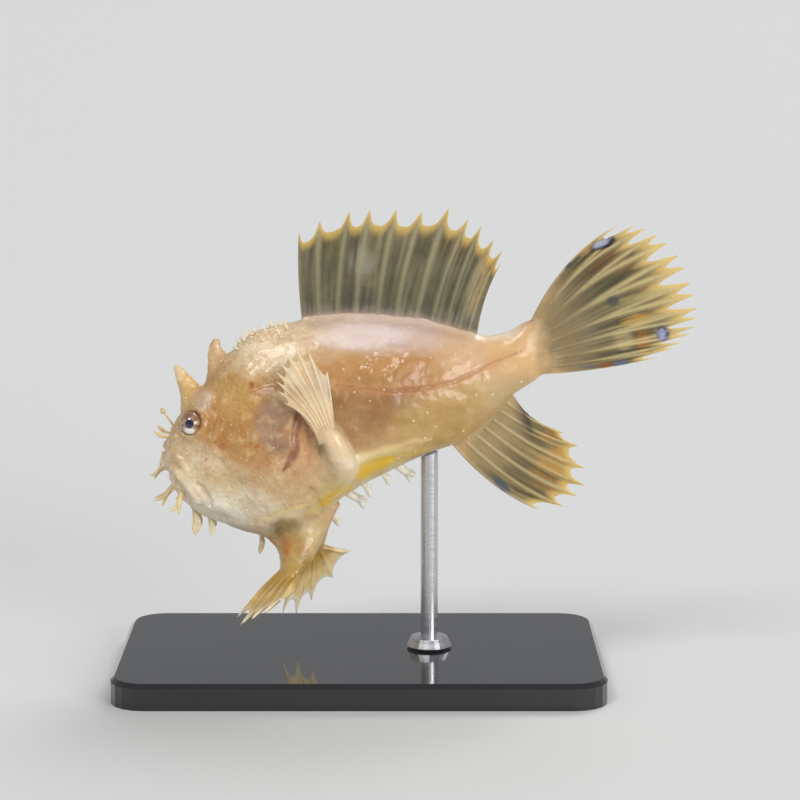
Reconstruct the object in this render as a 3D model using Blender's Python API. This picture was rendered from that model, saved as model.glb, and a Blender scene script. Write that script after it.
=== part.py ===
"""A sargassum fish at life size, held over a flat base by one short rod.

Sizes are in millimetres, and MM turns them into metres as each mesh is made.
The fish faces -X and its left side is towards -Y. The origin is under the middle of the base.
"""

import math
import random

import bmesh
import bpy
import numpy as np
from mathutils import Vector
from mathutils.bvhtree import BVHTree

MM = 0.001
GAP = 0.3  # between two nodes that meet

# The body is a loft. Each station is a section through the fish, given by its top point and its
# bottom point in the middle plane, its half width, and how much narrower it is above than below.
BODY_STATIONS = (
    # top x, top z, bottom x, bottom z, half width, narrowing
    (-22.2, 27.2, -22.2, 25.4, 1.2, 0.00),  # front of the muzzle
    (-21.9, 28.6, -21.9, 23.4, 2.7, 0.00),  # upper lip
    (-21.3, 29.9, -21.3, 21.7, 3.4, 0.00),  # snout
    (-20.2, 31.4, -20.1, 20.4, 4.1, 0.02),  # front of the eye
    (-18.7, 33.1, -18.6, 19.2, 4.8, 0.04),  # back of the eye
    (-17.0, 35.3, -16.6, 18.3, 5.5, 0.06),  # brow
    (-14.7, 38.0, -13.8, 17.2, 6.2, 0.08),  # crown
    (-12.0, 40.2, -10.8, 16.4, 6.8, 0.10),  # nape
    (-8.9, 41.0, -8.1, 16.4, 7.2, 0.12),  # cheek
    (-6.4, 41.5, -5.5, 17.8, 7.2, 0.14),  # gill cover
    (-3.5, 41.8, -2.8, 20.4, 6.9, 0.16),  # shoulder
    (0.0, 41.8, 0.5, 22.6, 6.4, 0.18),  # front of the belly
    (4.0, 41.5, 4.3, 24.6, 5.7, 0.18),  # middle of the belly
    (8.1, 40.9, 8.1, 26.3, 4.8, 0.16),  # vent
    (11.5, 40.2, 11.7, 27.7, 3.9, 0.12),  # root of the anal fin
    (14.5, 39.8, 15.0, 30.4, 3.0, 0.08),  # end of the dorsal fin
    (17.0, 40.3, 17.8, 33.1, 2.4, 0.04),  # tail stalk
    (18.9, 41.4, 20.2, 34.7, 1.9, 0.00),  # root of the tail fin
    (20.3, 41.7, 22.0, 36.0, 1.2, 0.00),  # end of the flesh
)
RINGS_PER_STATION = 2
RING_POINTS = 28
FLANK_POWER = 0.85  # under 1 makes the flanks flatter than an ellipse

# The cuts that part the whole body: a point in the middle plane, and how far the cut leans back
HEAD_CUT = (-6.6, 29.0, 4.0)  # x, z, degrees
STALK_CUT = (15.4, 35.0, 8.0)

# The mouth runs down and back from its front to its corner, and the jaw ends at the throat
MOUTH_LINE = ((-25.5, 26.6), (-22.1, 26.3), (-20.6, 25.4), (-19.2, 23.4), (-18.2, 19.6), (-18.0, 12.0))
MOUTH_CORNER = 3  # place of the corner in that line
UPPER_LIP_RADIUS = 0.5
LOWER_LIP_RADIUS = 0.62
UPPER_LIP_RISE = 0.75  # over the line of the mouth
LOWER_LIP_DROP = 0.85
LOWER_LIP_STANDS_OUT = 0.12
CHIN_PLACE = (-22.2, 0.0, 25.0)
CHIN_RADIUS = 0.95
CHIN_STRETCH = (0.9, 1.7, 1.0)

EYE_PLACE = (-18.95, 30.2)  # x, z
EYE_RADIUS = 1.35
EYE_STANDS_OUT = 0.2  # how far the eye's middle is past the skin
LID_RING_RADIUS = 1.78
LID_RADIUS = 0.42
NOSTRIL_PLACE = (-21.0, 28.6)
NOSTRIL_RADIUS = 0.42

# Fin rays: x, z of each root and each tip, front to back or top to bottom
DORSAL_ROOTS_X = (-6.6, -4.7, -2.6, -0.5, 2.0, 4.0, 6.2, 8.1, 9.8, 11.2, 12.4, 13.4)
DORSAL_TIPS = (
    (-6.9, 51.6), (-4.5, 53.0), (-1.1, 54.1), (1.2, 54.3), (4.2, 54.3), (7.1, 54.1),
    (10.2, 54.5), (12.4, 53.2), (13.9, 52.4), (15.3, 50.8), (16.3, 49.6), (16.1, 48.1),
)
DORSAL_BOW = ((-0.5, 0.0), (-0.9, 0.3))  # how far the first and the last ray bow, x and z
DORSAL_FORM = {"notch": 0.16, "root_half": 0.9, "wave": 0.25, "sink": 1.6}
TAIL_TIPS = (
    (29.6, 52.6), (31.9, 52.5), (34.6, 51.2), (36.9, 48.5), (38.2, 45.2),
    (38.9, 42.3), (38.3, 40.3), (36.6, 38.6), (34.2, 37.3),
)
TAIL_ROOTS = ((19.6, 41.6), (21.6, 35.4))  # first and last
TAIL_BOW = ((-1.8, 2.2), (0.2, -0.7))
TAIL_FORM = {"notch": 0.2, "root_half": 1.2, "wave": 0.4, "sink": 1.6}
ANAL_TIPS = (
    (20.6, 19.4), (23.6, 19.7), (25.3, 20.9), (26.0, 22.2),
    (26.0, 24.3), (25.1, 27.0), (23.5, 28.5), (21.1, 29.2),
)
ANAL_ROOTS = ((10.4, 27.4), (17.4, 33.2))
ANAL_BOW = ((-0.9, -1.7), (-0.5, -0.7))
ANAL_FORM = {"notch": 0.13, "root_half": 1.2, "wave": 0.25, "sink": 1.8}

# Places on the left side are x, y, z; the right side has its own where it differs from a mirror
ARM_PATH = ((-4.4, -4.2, 23.2), (-2.1, -6.8, 25.6), (-2.4, -8.2, 28.0), (-3.5, -8.5, 30.2))
ARM_WIDTHS = (2.2, 1.8, 1.4, 1.05)
ARM_DEPTHS = (1.6, 1.5, 1.1, 0.75)
PECTORAL_TIPS = (
    (-3.5, -7.6, 36.9), (-5.6, -7.4, 39.1), (-7.1, -7.3, 39.5), (-8.2, -7.4, 39.0),
    (-8.9, -7.6, 38.0), (-9.3, -7.8, 36.9), (-9.3, -8.1, 35.9), (-9.1, -8.4, 34.8), (-8.4, -8.7, 33.5),
)
PECTORAL_ROOTS = ((-2.7, -8.4, 30.6), (-4.7, -8.6, 29.5))  # first and last
PECTORAL_BOW = ((0.2, -0.4, -0.2), (0.9, -0.4, 0.9))
PECTORAL_FORM = {"notch": 0.14, "root_half": 0.5, "rows": 7, "sink": 1.0}

LEFT_LEG_PATH = ((-6.3, -1.6, 20.0), (-6.7, -3.2, 16.6), (-7.6, -4.6, 13.6))
RIGHT_LEG_PATH = ((-5.9, 1.6, 20.0), (-5.9, 3.0, 16.8), (-5.8, 4.0, 14.2))
LEG_WIDTHS = (3.7, 2.4, 1.6)
LEG_DEPTHS = (2.0, 1.7, 1.3)
LEFT_FOOT_ROOTS = ((-9.0, -4.0, 13.0), (-6.9, -5.6, 12.6))
LEFT_FOOT_TIPS = (
    (-14.2, -4.6, 7.7), (-13.6, -6.7, 7.4), (-12.2, -9.0, 8.7), (-10.7, -10.5, 9.8), (-8.9, -11.0, 11.4),
)
RIGHT_FOOT_ROOTS = ((-7.2, 4.0, 13.6), (-4.4, 4.6, 14.0))
RIGHT_FOOT_TIPS = (
    (-9.3, 3.6, 5.9), (-7.7, 4.6, 5.8), (-5.9, 5.6, 7.2), (-3.4, 6.5, 9.7), (-1.2, 7.0, 12.9),
)
FOOT_BOW = ((-0.3, 0.0, -0.3), (0.3, 0.0, -0.3))
FOOT_FORM = {"notch": 0.22, "root_half": 1.0, "rows": 7, "sink": 1.0}

# A fin's notch is how far its web ends short of the ray tips, as a share of a ray's length.
# Half thicknesses across a fin
FIN_WEB = 0.25
FIN_CREST = 0.40
FIN_TIP = 0.16
ROOT_FADE = 0.09  # share of a ray over which its thick root thins to the web
TIP_FROM = 0.6  # share of a ray past which the fin thins to its edge
FORK = 0.35  # depth of the cleft in a branched ray's tip, as a share of the notch
SLOPE = 0.62  # how far the edge has fallen beside an unbranched ray, as a share of the notch

# The three free spines over the snout, x and z along each from root to tip
LURE_PATH = ((-21.0, 28.6), (-21.9, 29.9), (-22.7, 31.0))
LURE_RADIUS = 0.27
BAIT_RADIUS = 0.42
HORN_PATH = ((-18.7, 31.6), (-19.6, 33.6), (-20.5, 35.2), (-21.1, 36.3))
HORN_WIDTHS = (2.2, 1.3, 0.8, 0.42)
HORN_DEPTHS = (1.0, 0.75, 0.55, 0.35)
HORN_PRICKLES = (0.35, 0.5, 0.65, 0.8)  # shares of its height
CREST_PATH = ((-15.6, 35.2), (-16.2, 36.9), (-16.6, 38.3), (-16.3, 39.3))
CREST_WIDTHS = (2.3, 1.35, 0.75, 0.4)
CREST_DEPTHS = (1.0, 0.7, 0.5, 0.33)

# Skin tassels: root x, root z, tip x, tip z, half width, and the share of the half breadth out from
# the middle plane at which it grows. Those with a share above 0 come in pairs.
JAW_TASSELS = (
    (-22.6, 24.6, -23.9, 23.5, 0.42, 0.0),
    (-21.4, 22.3, -23.5, 20.4, 0.42, 0.35),
    (-20.0, 22.2, -21.1, 19.9, 0.46, 0.8),
    (-18.9, 19.8, -18.9, 16.9, 0.52, 0.4),
)
THROAT_TASSELS = (
    (-17.2, 19.0, -17.0, 17.0, 0.4, 0.45),
    (-11.4, 16.9, -11.6, 14.7, 0.34, 0.3),
)
SNOUT_TASSELS = ((-21.6, 28.0, -23.2, 28.9, 0.3, 0.45),)
BELLY_TASSELS = (
    (-3.6, 19.0, -2.3, 17.6, 0.38, 0.35),
    (-1.6, 21.8, 0.5, 20.2, 0.5, 0.2),
    (0.2, 22.9, 1.1, 21.4, 0.34, 0.35),
    (2.4, 24.0, 3.3, 22.7, 0.34, 0.2),
    (4.3, 24.9, 6.0, 23.2, 0.6, 0.3),
)
NAPE_BRISTLES = 13
NAPE_FROM = (-14.2, -9.0)  # x of the first and the last
NAPE_SPREAD = 1.6  # most that they stand off the middle
BRISTLE_LENGTHS = (0.55, 1.15)
BRISTLE_RADIUS = 0.26
BRISTLE_SEED = 5

BASE_LENGTH = 56.0
BASE_WIDTH = 32.0
BASE_HEIGHT = 3.0
BASE_CORNER = 4.0
BASE_CHAMFER = 0.5
ROD_X = 8.0
ROD_RADIUS = 1.0
ROD_HIDDEN_TOP = 29.0  # inside the belly, which cuts it back
ROD_FOOT_RADIUS = 2.6
ROD_FOOT_TOP_RADIUS = 2.1
ROD_FOOT_HEIGHT = 1.0


def clear_scene():
    for thing in list(bpy.data.objects):
        bpy.data.objects.remove(thing)


def make_collection(name, shown=True):
    found = bpy.data.collections.new(name)
    found.hide_render = not shown
    bpy.context.scene.collection.children.link(found)
    return found


def material(name, colour, roughness, metallic=0.0):
    made = bpy.data.materials.new(name)
    made.use_nodes = True
    shader = made.node_tree.nodes["Principled BSDF"]
    shader.inputs["Base Color"].default_value = (*colour, 1.0)
    shader.inputs["Roughness"].default_value = roughness
    shader.inputs["Metallic"].default_value = metallic
    return made


def add_mesh(name, points, faces, collection):
    """A closed mesh from points in millimetres, with its faces turned outwards."""
    mesh = bpy.data.meshes.new(name)
    mesh.from_pydata([tuple(float(c) * MM for c in p) for p in points], [], faces)
    made = bmesh.new()
    made.from_mesh(mesh)
    bmesh.ops.recalc_face_normals(made, faces=made.faces)
    if made.calc_volume(signed=True) < 0:
        bmesh.ops.reverse_faces(made, faces=made.faces)
    made.to_mesh(mesh)
    made.free()
    thing = bpy.data.objects.new(name, mesh)
    collection.objects.link(thing)
    return thing


def smooth_path(rows, count):
    """Rows of numbers made into count rows, on a smooth curve through the given ones."""
    rows = np.array(rows, float)
    last = len(rows) - 1
    slopes = np.gradient(rows, axis=0)
    found = []
    for place in np.linspace(0, last, count):
        i = min(int(place), last - 1)
        t = place - i
        found.append(
            (2 * t**3 - 3 * t**2 + 1) * rows[i]
            + (t**3 - 2 * t**2 + t) * slopes[i]
            + (3 * t**2 - 2 * t**3) * rows[i + 1]
            + (t**3 - t**2) * slopes[i + 1]
        )
    return np.array(found)


def loft(name, rings, collection):
    """A closed skin over rings that have the same number of points each."""
    sides = len(rings[0])
    points = [p for ring in rings for p in ring]
    faces = []
    for r in range(len(rings) - 1):
        for s in range(sides):
            near, far = r * sides, (r + 1) * sides
            following = (s + 1) % sides
            faces.append((near + s, near + following, far + following, far + s))
    faces.append(tuple(range(sides)))
    faces.append(tuple(range(len(points) - sides, len(points))))
    return add_mesh(name, points, faces, collection)


def limb(name, path, widths, depths, collection, side=(0, 1, 0), sides=8, count=7):
    """A tapering limb: elliptical sections across a smooth path, with a rounded end."""
    rows = smooth_path([(*p, w, d) for p, w, d in zip(path, widths, depths)], count)
    centres = rows[:, :3]
    along = np.gradient(centres, axis=0)
    rings = []
    for centre, tangent, (width, depth) in zip(centres, along, rows[:, 3:]):
        tangent = tangent / np.linalg.norm(tangent)
        across = np.array(side, float)
        across -= tangent * across.dot(tangent)
        across /= np.linalg.norm(across)
        up = np.cross(tangent, across)
        angles = np.arange(sides) * 2 * math.pi / sides
        rings.append([centre + up * width * math.cos(a) + across * depth * math.sin(a) for a in angles])
    # The end is rounded by one more ring, smaller and a little further out
    tangent = along[-1] / np.linalg.norm(along[-1])
    reach = 0.6 * min(widths[-1], depths[-1])
    rings.append([centres[-1] + (p - centres[-1]) * 0.5 + tangent * reach for p in rings[-1]])
    return loft(name, rings, collection)


def plane_points(path):
    """Points x, z of the middle plane as x, y, z."""
    return [(x, 0.0, z) for x, z in path]


def body_rings():
    count = (len(BODY_STATIONS) - 1) * RINGS_PER_STATION + 1
    rings = []
    for top_x, top_z, low_x, low_z, half_width, narrowing in smooth_path(BODY_STATIONS, count):
        top, low = np.array((top_x, 0, top_z)), np.array((low_x, 0, low_z))
        middle, rise = (top + low) / 2, (top - low) / 2
        ring = []
        for k in range(RING_POINTS):
            angle = 2 * math.pi * k / RING_POINTS
            height, breadth = math.sin(angle), math.cos(angle)
            out = math.copysign(abs(breadth) ** FLANK_POWER, breadth) * (1 - narrowing * height)
            ring.append(middle + rise * height + np.array((0, half_width * out, 0)))
        rings.append(ring)
    return rings


def half_body(whole, name, cut, keep, collection):
    """The part of the body before or behind a cut, half a gap away from it."""
    x, z, lean = cut
    normal = Vector((math.cos(math.radians(lean)), 0, math.sin(math.radians(lean)))) * keep
    point = Vector((x, 0, z)) * MM + normal * GAP / 2 * MM
    made = bmesh.new()
    made.from_mesh(whole.data)
    everything = made.verts[:] + made.edges[:] + made.faces[:]
    bmesh.ops.bisect_plane(made, geom=everything, plane_co=point, plane_no=normal, clear_inner=True)
    open_edges = [edge for edge in made.edges if edge.is_boundary]
    bmesh.ops.edgeloop_fill(made, edges=open_edges)
    bmesh.ops.recalc_face_normals(made, faces=made.faces)
    mesh = bpy.data.meshes.new(name)
    made.to_mesh(mesh)
    made.free()
    thing = bpy.data.objects.new(name, mesh)
    collection.objects.link(thing)
    return thing


def drop_object(thing):
    bpy.data.objects.remove(thing)


def apply_boolean(thing, operation, cutter=None, collection=None, solver="EXACT"):
    modifier = thing.modifiers.new(operation.lower(), "BOOLEAN")
    modifier.operation = operation
    modifier.solver = solver
    if collection is None:
        modifier.object = cutter
    else:
        modifier.operand_type = "COLLECTION"
        modifier.collection = collection
    bpy.context.view_layer.update()
    evaluated = thing.evaluated_get(bpy.context.evaluated_depsgraph_get())
    mesh = bpy.data.meshes.new_from_object(evaluated)
    thing.modifiers.clear()
    thing.data = mesh
    keep_largest_surface(thing)


def keep_largest_surface(thing):
    """Drops every closed surface of a mesh but the one that spans the most."""
    made = bmesh.new()
    made.from_mesh(thing.data)
    left = set(made.verts)
    surfaces = []
    while left:
        found, edge = set(), [left.pop()]
        while edge:
            vertex = edge.pop()
            found.add(vertex)
            for link in vertex.link_edges:
                other = link.other_vert(vertex)
                if other in left:
                    left.discard(other)
                    edge.append(other)
        surfaces.append(found)

    def span(surface):
        places = np.array([vertex.co for vertex in surface])
        return float(np.prod(places.max(0) - places.min(0) + MM / 1000))

    largest = max(surfaces, key=span)
    bmesh.ops.delete(made, geom=[v for v in made.verts if v not in largest], context="VERTS")
    made.to_mesh(thing.data)
    made.free()


def fuse(thing, pieces):
    """Joins closed pieces to a node by one Boolean union, and removes them."""
    group = make_collection(thing.name + "_pieces", shown=False)
    for piece in pieces:
        for owner in list(piece.users_collection):
            owner.objects.unlink(piece)
        group.objects.link(piece)
    apply_boolean(thing, "UNION", collection=group)
    for piece in pieces:
        drop_object(piece)
    bpy.data.collections.remove(group)


def grown_copy(thing, distance, collection):
    """A copy of a mesh pushed out along its normals, to cut its neighbours clear of it."""
    copy = bpy.data.objects.new(thing.name + "_clearance", thing.data.copy())
    collection.objects.link(copy)
    made = bmesh.new()
    made.from_mesh(copy.data)
    made.normal_update()
    for vertex in made.verts:
        vertex.co += vertex.normal * distance * MM
    made.to_mesh(copy.data)
    made.free()
    return copy


def cut_clear(thing, blockers, helpers, solver="EXACT"):
    """Cuts a node back from its neighbours, so that they meet face to face with the gap between."""
    for blocker in blockers:
        cutter = grown_copy(blocker, GAP, helpers)
        apply_boolean(thing, "DIFFERENCE", cutter=cutter, solver=solver)
        drop_object(cutter)


class Surface:
    """Finds places on the outside of a mesh."""

    def __init__(self, thing):
        made = bmesh.new()
        made.from_mesh(thing.data)
        self.tree = BVHTree.FromBMesh(made)
        made.free()

    def beside(self, x, z, side=-1):
        """The skin's point and outward normal at x, z, on the side given by the sign of y."""
        start = Vector((x * MM, side * 0.05, z * MM))
        place, normal, _, _ = self.tree.ray_cast(start, Vector((0, -side, 0)))
        if place is None:
            place, normal, _, _ = self.tree.find_nearest(Vector((x * MM, 0, z * MM)))
        return np.array(place) / MM, np.array(normal)

    def on_top(self, x, y):
        start = Vector((x * MM, y * MM, 0.1))
        place, normal, _, _ = self.tree.ray_cast(start, Vector((0, 0, -1)))
        return np.array(place) / MM, np.array(normal)

    def nearest(self, point):
        place, normal, _, _ = self.tree.find_nearest(Vector([c * MM for c in point]))
        return np.array(place) / MM, np.array(normal)


# Places across one ray's share of a fin, from its crest at 0 to the middle of the web at 0.5
RAY_COLUMNS = (-0.22, 0.0, 0.22, 0.5)


def spread(first, last, count):
    """Count points evenly from first to last."""
    return [np.array(first) + (np.array(last) - np.array(first)) * i / (count - 1) for i in range(count)]


def fin(name, roots, tips, bows, collection, notch, root_half, rows=8, forked=(), wave=0.0, sink=0.0):
    """A fin as one closed sheet, with each ray as a ridge on both faces and a point past the web.

    roots and tips are x, y, z of each ray, bows are the first and the last ray's, and sink is how
    far the roots reach back into what carries the fin.
    """
    roots, tips = np.array(roots, float), np.array(tips, float)
    last = len(roots) - 1
    shares = np.linspace(0, 1, last + 1)[:, None]
    middles = (roots + tips) / 2 + np.array(bows[0]) * (1 - shares) + np.array(bows[1]) * shares
    starts = roots - (middles - roots) / np.linalg.norm(middles - roots, axis=1)[:, None] * sink

    columns = sorted(
        ray + place for ray in range(last + 1) for place in RAY_COLUMNS if 0 <= ray + place <= last
    )

    def ray_shape(column):
        """How far out the edge is, and how high the ridge stands, at the crest and near the tip."""
        ray = min(int(column + 0.5), last)
        place = abs(column - ray)
        if place < 0.1:
            return (1 - FORK * notch, 1.0, 0.4) if ray in forked else (1.0, 1.0, 1.0)
        if place < 0.4:
            return (1.0, 0.35, 1.0) if ray in forked else (1 - SLOPE * notch, 0.3, 0.3)
        return 1 - notch, 0.0, 0.0

    def between(values, column):
        i = min(int(column), last - 1)
        return values[i] + (values[i + 1] - values[i]) * (column - i)

    grid = np.zeros((len(columns), rows + 1, 3))
    half = np.zeros((len(columns), rows + 1))
    for c, column in enumerate(columns):
        reach, ridge, ridge_out = ray_shape(column)
        a, b, d = (between(v, column) for v in (starts, middles, tips))
        for r in range(rows + 1):
            share = r / rows * reach
            grid[c, r] = (1 - share) ** 2 * a + 2 * share * (1 - share) * b + share**2 * d
            grid[c, r, 1] += wave * share**2 * math.sin(column / last * 2 * math.pi)
            height = ridge + (ridge_out - ridge) * share**2
            flat = FIN_WEB + (FIN_CREST - FIN_WEB) * height
            flat += (FIN_TIP - flat) * max(0.0, (share - TIP_FROM) / (1 - TIP_FROM)) ** 2
            half[c, r] = flat + (root_half - flat) * math.exp(-share / ROOT_FADE)

    along_columns = np.gradient(grid, axis=0)
    along_rows = np.gradient(grid, axis=1)
    normals = np.cross(along_columns, along_rows)
    normals /= np.linalg.norm(normals, axis=2)[:, :, None]
    fronts = (grid + normals * half[:, :, None]).reshape(-1, 3)
    backs = (grid - normals * half[:, :, None]).reshape(-1, 3)
    points = np.concatenate([fronts, backs])
    other = len(fronts)

    def at(c, r):
        return c * (rows + 1) + r

    faces = []
    for c in range(len(columns) - 1):
        for r in range(rows):
            corners = at(c, r), at(c + 1, r), at(c + 1, r + 1), at(c, r + 1)
            for three in ((0, 1, 2), (0, 2, 3)):
                near = tuple(corners[i] for i in three)
                faces.append(near)
                faces.append(tuple(i + other for i in reversed(near)))
    rim = [at(c, 0) for c in range(len(columns))]
    rim += [at(len(columns) - 1, r) for r in range(1, rows + 1)]
    rim += [at(c, rows) for c in range(len(columns) - 2, -1, -1)]
    rim += [at(0, r) for r in range(rows - 1, 0, -1)]
    for here, there in zip(rim, rim[1:] + rim[:1]):
        faces.append((here, there, there + other))
        faces.append((here, there + other, here + other))
    return add_mesh(name, points, faces, collection)


def tassel(root, tip, width, collection, side=(0, 1, 0)):
    """A soft flap of skin: narrow at its root, wider past the middle, with a blunt point."""
    root, tip = np.array(root, float), np.array(tip, float)
    path = [root + (tip - root) * share for share in (-0.35, 0.25, 0.7, 1.0)]
    widths = (width * 0.85, width * 0.62, width * 1.1, width * 0.3)
    depths = (0.34, 0.3, 0.27, 0.18)
    return limb("tassel", path, widths, depths, collection, side=side, sides=6, count=5)


def tassels_on(surface, table, collection):
    """The tassels of one node, set on the skin and paired where they stand off the middle."""
    made = []
    for root_x, root_z, tip_x, tip_z, width, out in table:
        for side in (-1, 1) if out else (0,):
            edge, _ = surface.beside(root_x, root_z, side or -1)
            y = abs(edge[1]) * out * side
            place, _ = surface.nearest((root_x, y, root_z))
            swing = np.array((tip_x - root_x, 0.35 * y, tip_z - root_z))
            made.append(tassel(place, place + swing, width, collection))
    return made


def bristle(place, direction, length, radius, collection):
    """A pointed spinule with its root sunk in the skin."""
    direction = np.array(direction) / np.linalg.norm(direction)
    path = [place - direction * 0.5, place + direction * length * 0.5, place + direction * length]
    return limb(
        "bristle", path, (radius, radius * 0.75, 0.12), (radius, radius * 0.75, 0.12),
        collection, side=(0.1, 1, 0), sides=5, count=3,
    )


def nape_bristles(surface, collection):
    """A comb of small spinules over the nape, scattered to both sides of the middle."""
    draw = random.Random(BRISTLE_SEED)
    made = []
    for i in range(NAPE_BRISTLES):
        share = i / (NAPE_BRISTLES - 1)
        x = NAPE_FROM[0] + (NAPE_FROM[1] - NAPE_FROM[0]) * share
        off_middle = draw.uniform(-1, 1) * NAPE_SPREAD * math.sin(math.pi * share)
        place, normal = surface.on_top(x, off_middle)
        lean = normal + np.array((draw.uniform(-0.4, 0.2), draw.uniform(-0.2, 0.2), 0))
        made.append(bristle(place, lean, draw.uniform(*BRISTLE_LENGTHS), BRISTLE_RADIUS, collection))
    return made


def bent_tube(name, path, radius, collection, closed=False):
    """A lip or a lid: a curve with a round bevel and closed ends, made a mesh."""
    curve = bpy.data.curves.new(name, "CURVE")
    curve.dimensions = "3D"
    curve.bevel_depth = radius * MM
    curve.bevel_resolution = 2
    curve.use_fill_caps = True
    spline = curve.splines.new("POLY")
    spline.points.add(len(path) - 1)
    spline.use_cyclic_u = closed
    for i, (point, place) in enumerate(zip(spline.points, path)):
        point.co = (*(float(c) * MM for c in place), 1.0)
        if not closed:
            point.radius = 0.5 + 0.5 * math.sin(math.pi * i / (len(path) - 1)) ** 0.5
    tube = bpy.data.objects.new(name, curve)
    collection.objects.link(tube)
    bpy.context.view_layer.update()
    evaluated = tube.evaluated_get(bpy.context.evaluated_depsgraph_get())
    mesh = bpy.data.meshes.new_from_object(evaluated)
    made = bmesh.new()
    made.from_mesh(mesh)
    bmesh.ops.remove_doubles(made, verts=made.verts, dist=0.00001)
    bmesh.ops.recalc_face_normals(made, faces=made.faces)
    made.to_mesh(mesh)
    made.free()
    solid = bpy.data.objects.new(name, mesh)
    solid.matrix_world = tube.matrix_world
    collection.objects.link(solid)
    drop_object(tube)
    return solid


def ball(name, place, radius, collection, segments=20, scale=(1, 1, 1)):
    made = bmesh.new()
    bmesh.ops.create_uvsphere(made, u_segments=segments, v_segments=segments // 2, radius=radius * MM)
    bmesh.ops.scale(made, vec=scale, verts=made.verts)
    bmesh.ops.translate(made, vec=Vector([float(c) * MM for c in place]), verts=made.verts)
    mesh = bpy.data.meshes.new(name)
    made.to_mesh(mesh)
    made.free()
    thing = bpy.data.objects.new(name, mesh)
    collection.objects.link(thing)
    return thing


def lip_path(surface, drop, side_reach):
    """Points along a lip, from one corner of the mouth round the muzzle to the other."""
    line = [MOUTH_LINE[i] for i in range(MOUTH_CORNER, 0, -1)]
    left = []
    for x, z in line[:-1]:
        place, normal = surface.beside(x, z + drop)
        left.append(place + normal * side_reach)
    front_x, front_z = line[-1]
    place, _ = surface.nearest((front_x - 2, 0, front_z + drop))
    front = [(place[0] + side_reach * -1.0, 0.0, place[2])]
    shoulder = [(place[0] + 0.15 - side_reach, -1.3, place[2])]
    right = [(x, -y, z) for x, y, z in reversed(left + shoulder)]
    return smooth_path(list(left) + shoulder + front + right, 19)


def lid_ring(surface, side, helpers):
    """The lids as one round fold of skin about an eye."""
    place, normal = surface.beside(*EYE_PLACE, side)
    across = np.cross(normal, (0, 0, 1))
    across /= np.linalg.norm(across)
    up = np.cross(across, normal)
    path = []
    for angle in np.linspace(0, 2 * math.pi, 20, endpoint=False):
        out = across * math.cos(angle) + up * math.sin(angle)
        on_skin, _ = surface.nearest(place + out * LID_RING_RADIUS)
        path.append(on_skin + normal * LID_RADIUS * 0.2)
    return bent_tube("lid", path, LID_RADIUS, helpers, closed=True)


def mouth_wedge(name, offset, helpers):
    """The space in front of and below the mouth, for taking the jaw off the head."""
    line = np.array(MOUTH_LINE)
    along = np.gradient(line, axis=0)
    across = np.stack([along[:, 1], -along[:, 0]], axis=1)
    across /= np.linalg.norm(across, axis=1)[:, None]
    line = line - across * offset
    outline = [tuple(p) for p in line] + [(-30.0, 12.0), (-30.0, line[0][1])]
    reach = 12.0
    points = [(x, -reach, z) for x, z in outline] + [(x, reach, z) for x, z in outline]
    count = len(outline)
    faces = [tuple(range(count)), tuple(range(2 * count - 1, count - 1, -1))]
    faces += [(i, (i + 1) % count, (i + 1) % count + count, i + count) for i in range(count)]
    return add_mesh(name, points, faces, helpers)


def build_head(whole, surface, shown, helpers):
    head = half_body(whole, "head", HEAD_CUT, -1, shown)
    jaw = bpy.data.objects.new("jaw", head.data.copy())
    shown.objects.link(jaw)

    low_path = lip_path(surface, -LOWER_LIP_DROP, LOWER_LIP_STANDS_OUT)
    lower = bent_tube("lower_lip", low_path, LOWER_LIP_RADIUS, helpers)
    chin = ball("chin", CHIN_PLACE, CHIN_RADIUS, helpers, segments=12, scale=CHIN_STRETCH)
    fuse(jaw, [lower, chin, *tassels_on(surface, JAW_TASSELS, helpers)])

    upper = bent_tube("upper_lip", lip_path(surface, UPPER_LIP_RISE, 0.0), UPPER_LIP_RADIUS, helpers)
    pieces = [upper, *tassels_on(surface, THROAT_TASSELS + SNOUT_TASSELS, helpers)]
    pieces += nape_bristles(surface, helpers)
    for side in (-1, 1):
        pieces.append(lid_ring(surface, side, helpers))
        nostril, _ = surface.beside(*NOSTRIL_PLACE, side)
        pieces.append(ball("nostril", nostril, NOSTRIL_RADIUS, helpers, segments=8))
    fuse(head, pieces)

    for thing, operation, offset in ((head, "DIFFERENCE", GAP / 2), (jaw, "INTERSECT", -GAP / 2)):
        wedge = mouth_wedge("mouth_wedge", offset, helpers)
        apply_boolean(thing, operation, cutter=wedge)
        drop_object(wedge)

    for side, word in ((-1, "left"), (1, "right")):
        place, normal = surface.beside(*EYE_PLACE, side)
        centre = place + normal * EYE_STANDS_OUT
        socket = ball("socket", centre, EYE_RADIUS + GAP, helpers, segments=18)
        apply_boolean(head, "DIFFERENCE", cutter=socket)
        drop_object(socket)
        ball("eye_" + word, centre, EYE_RADIUS, shown, segments=18)
    return head


def build_median_fins(whole, surface, shown, helpers):
    dorsal_roots = []
    for x in DORSAL_ROOTS_X:
        place, _ = surface.on_top(x, 0.0)
        dorsal_roots.append((x, 0.0, place[2]))
    fins = [
        fin(
            "fin_dorsal", dorsal_roots, plane_points(DORSAL_TIPS), plane_points(DORSAL_BOW), shown,
            **DORSAL_FORM,
        ),
        fin(
            "fin_caudal", plane_points(spread(*TAIL_ROOTS, len(TAIL_TIPS))), plane_points(TAIL_TIPS),
            plane_points(TAIL_BOW), shown, forked=range(1, len(TAIL_TIPS) - 1), **TAIL_FORM,
        ),
        fin(
            "fin_anal", plane_points(spread(*ANAL_ROOTS, len(ANAL_TIPS))), plane_points(ANAL_TIPS),
            plane_points(ANAL_BOW), shown, **ANAL_FORM,
        ),
    ]
    for made in fins:
        cut_clear(made, [whole], helpers, solver="MANIFOLD")


def mirrored(points):
    return [(x, -y, z) for x, y, z in points]


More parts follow.
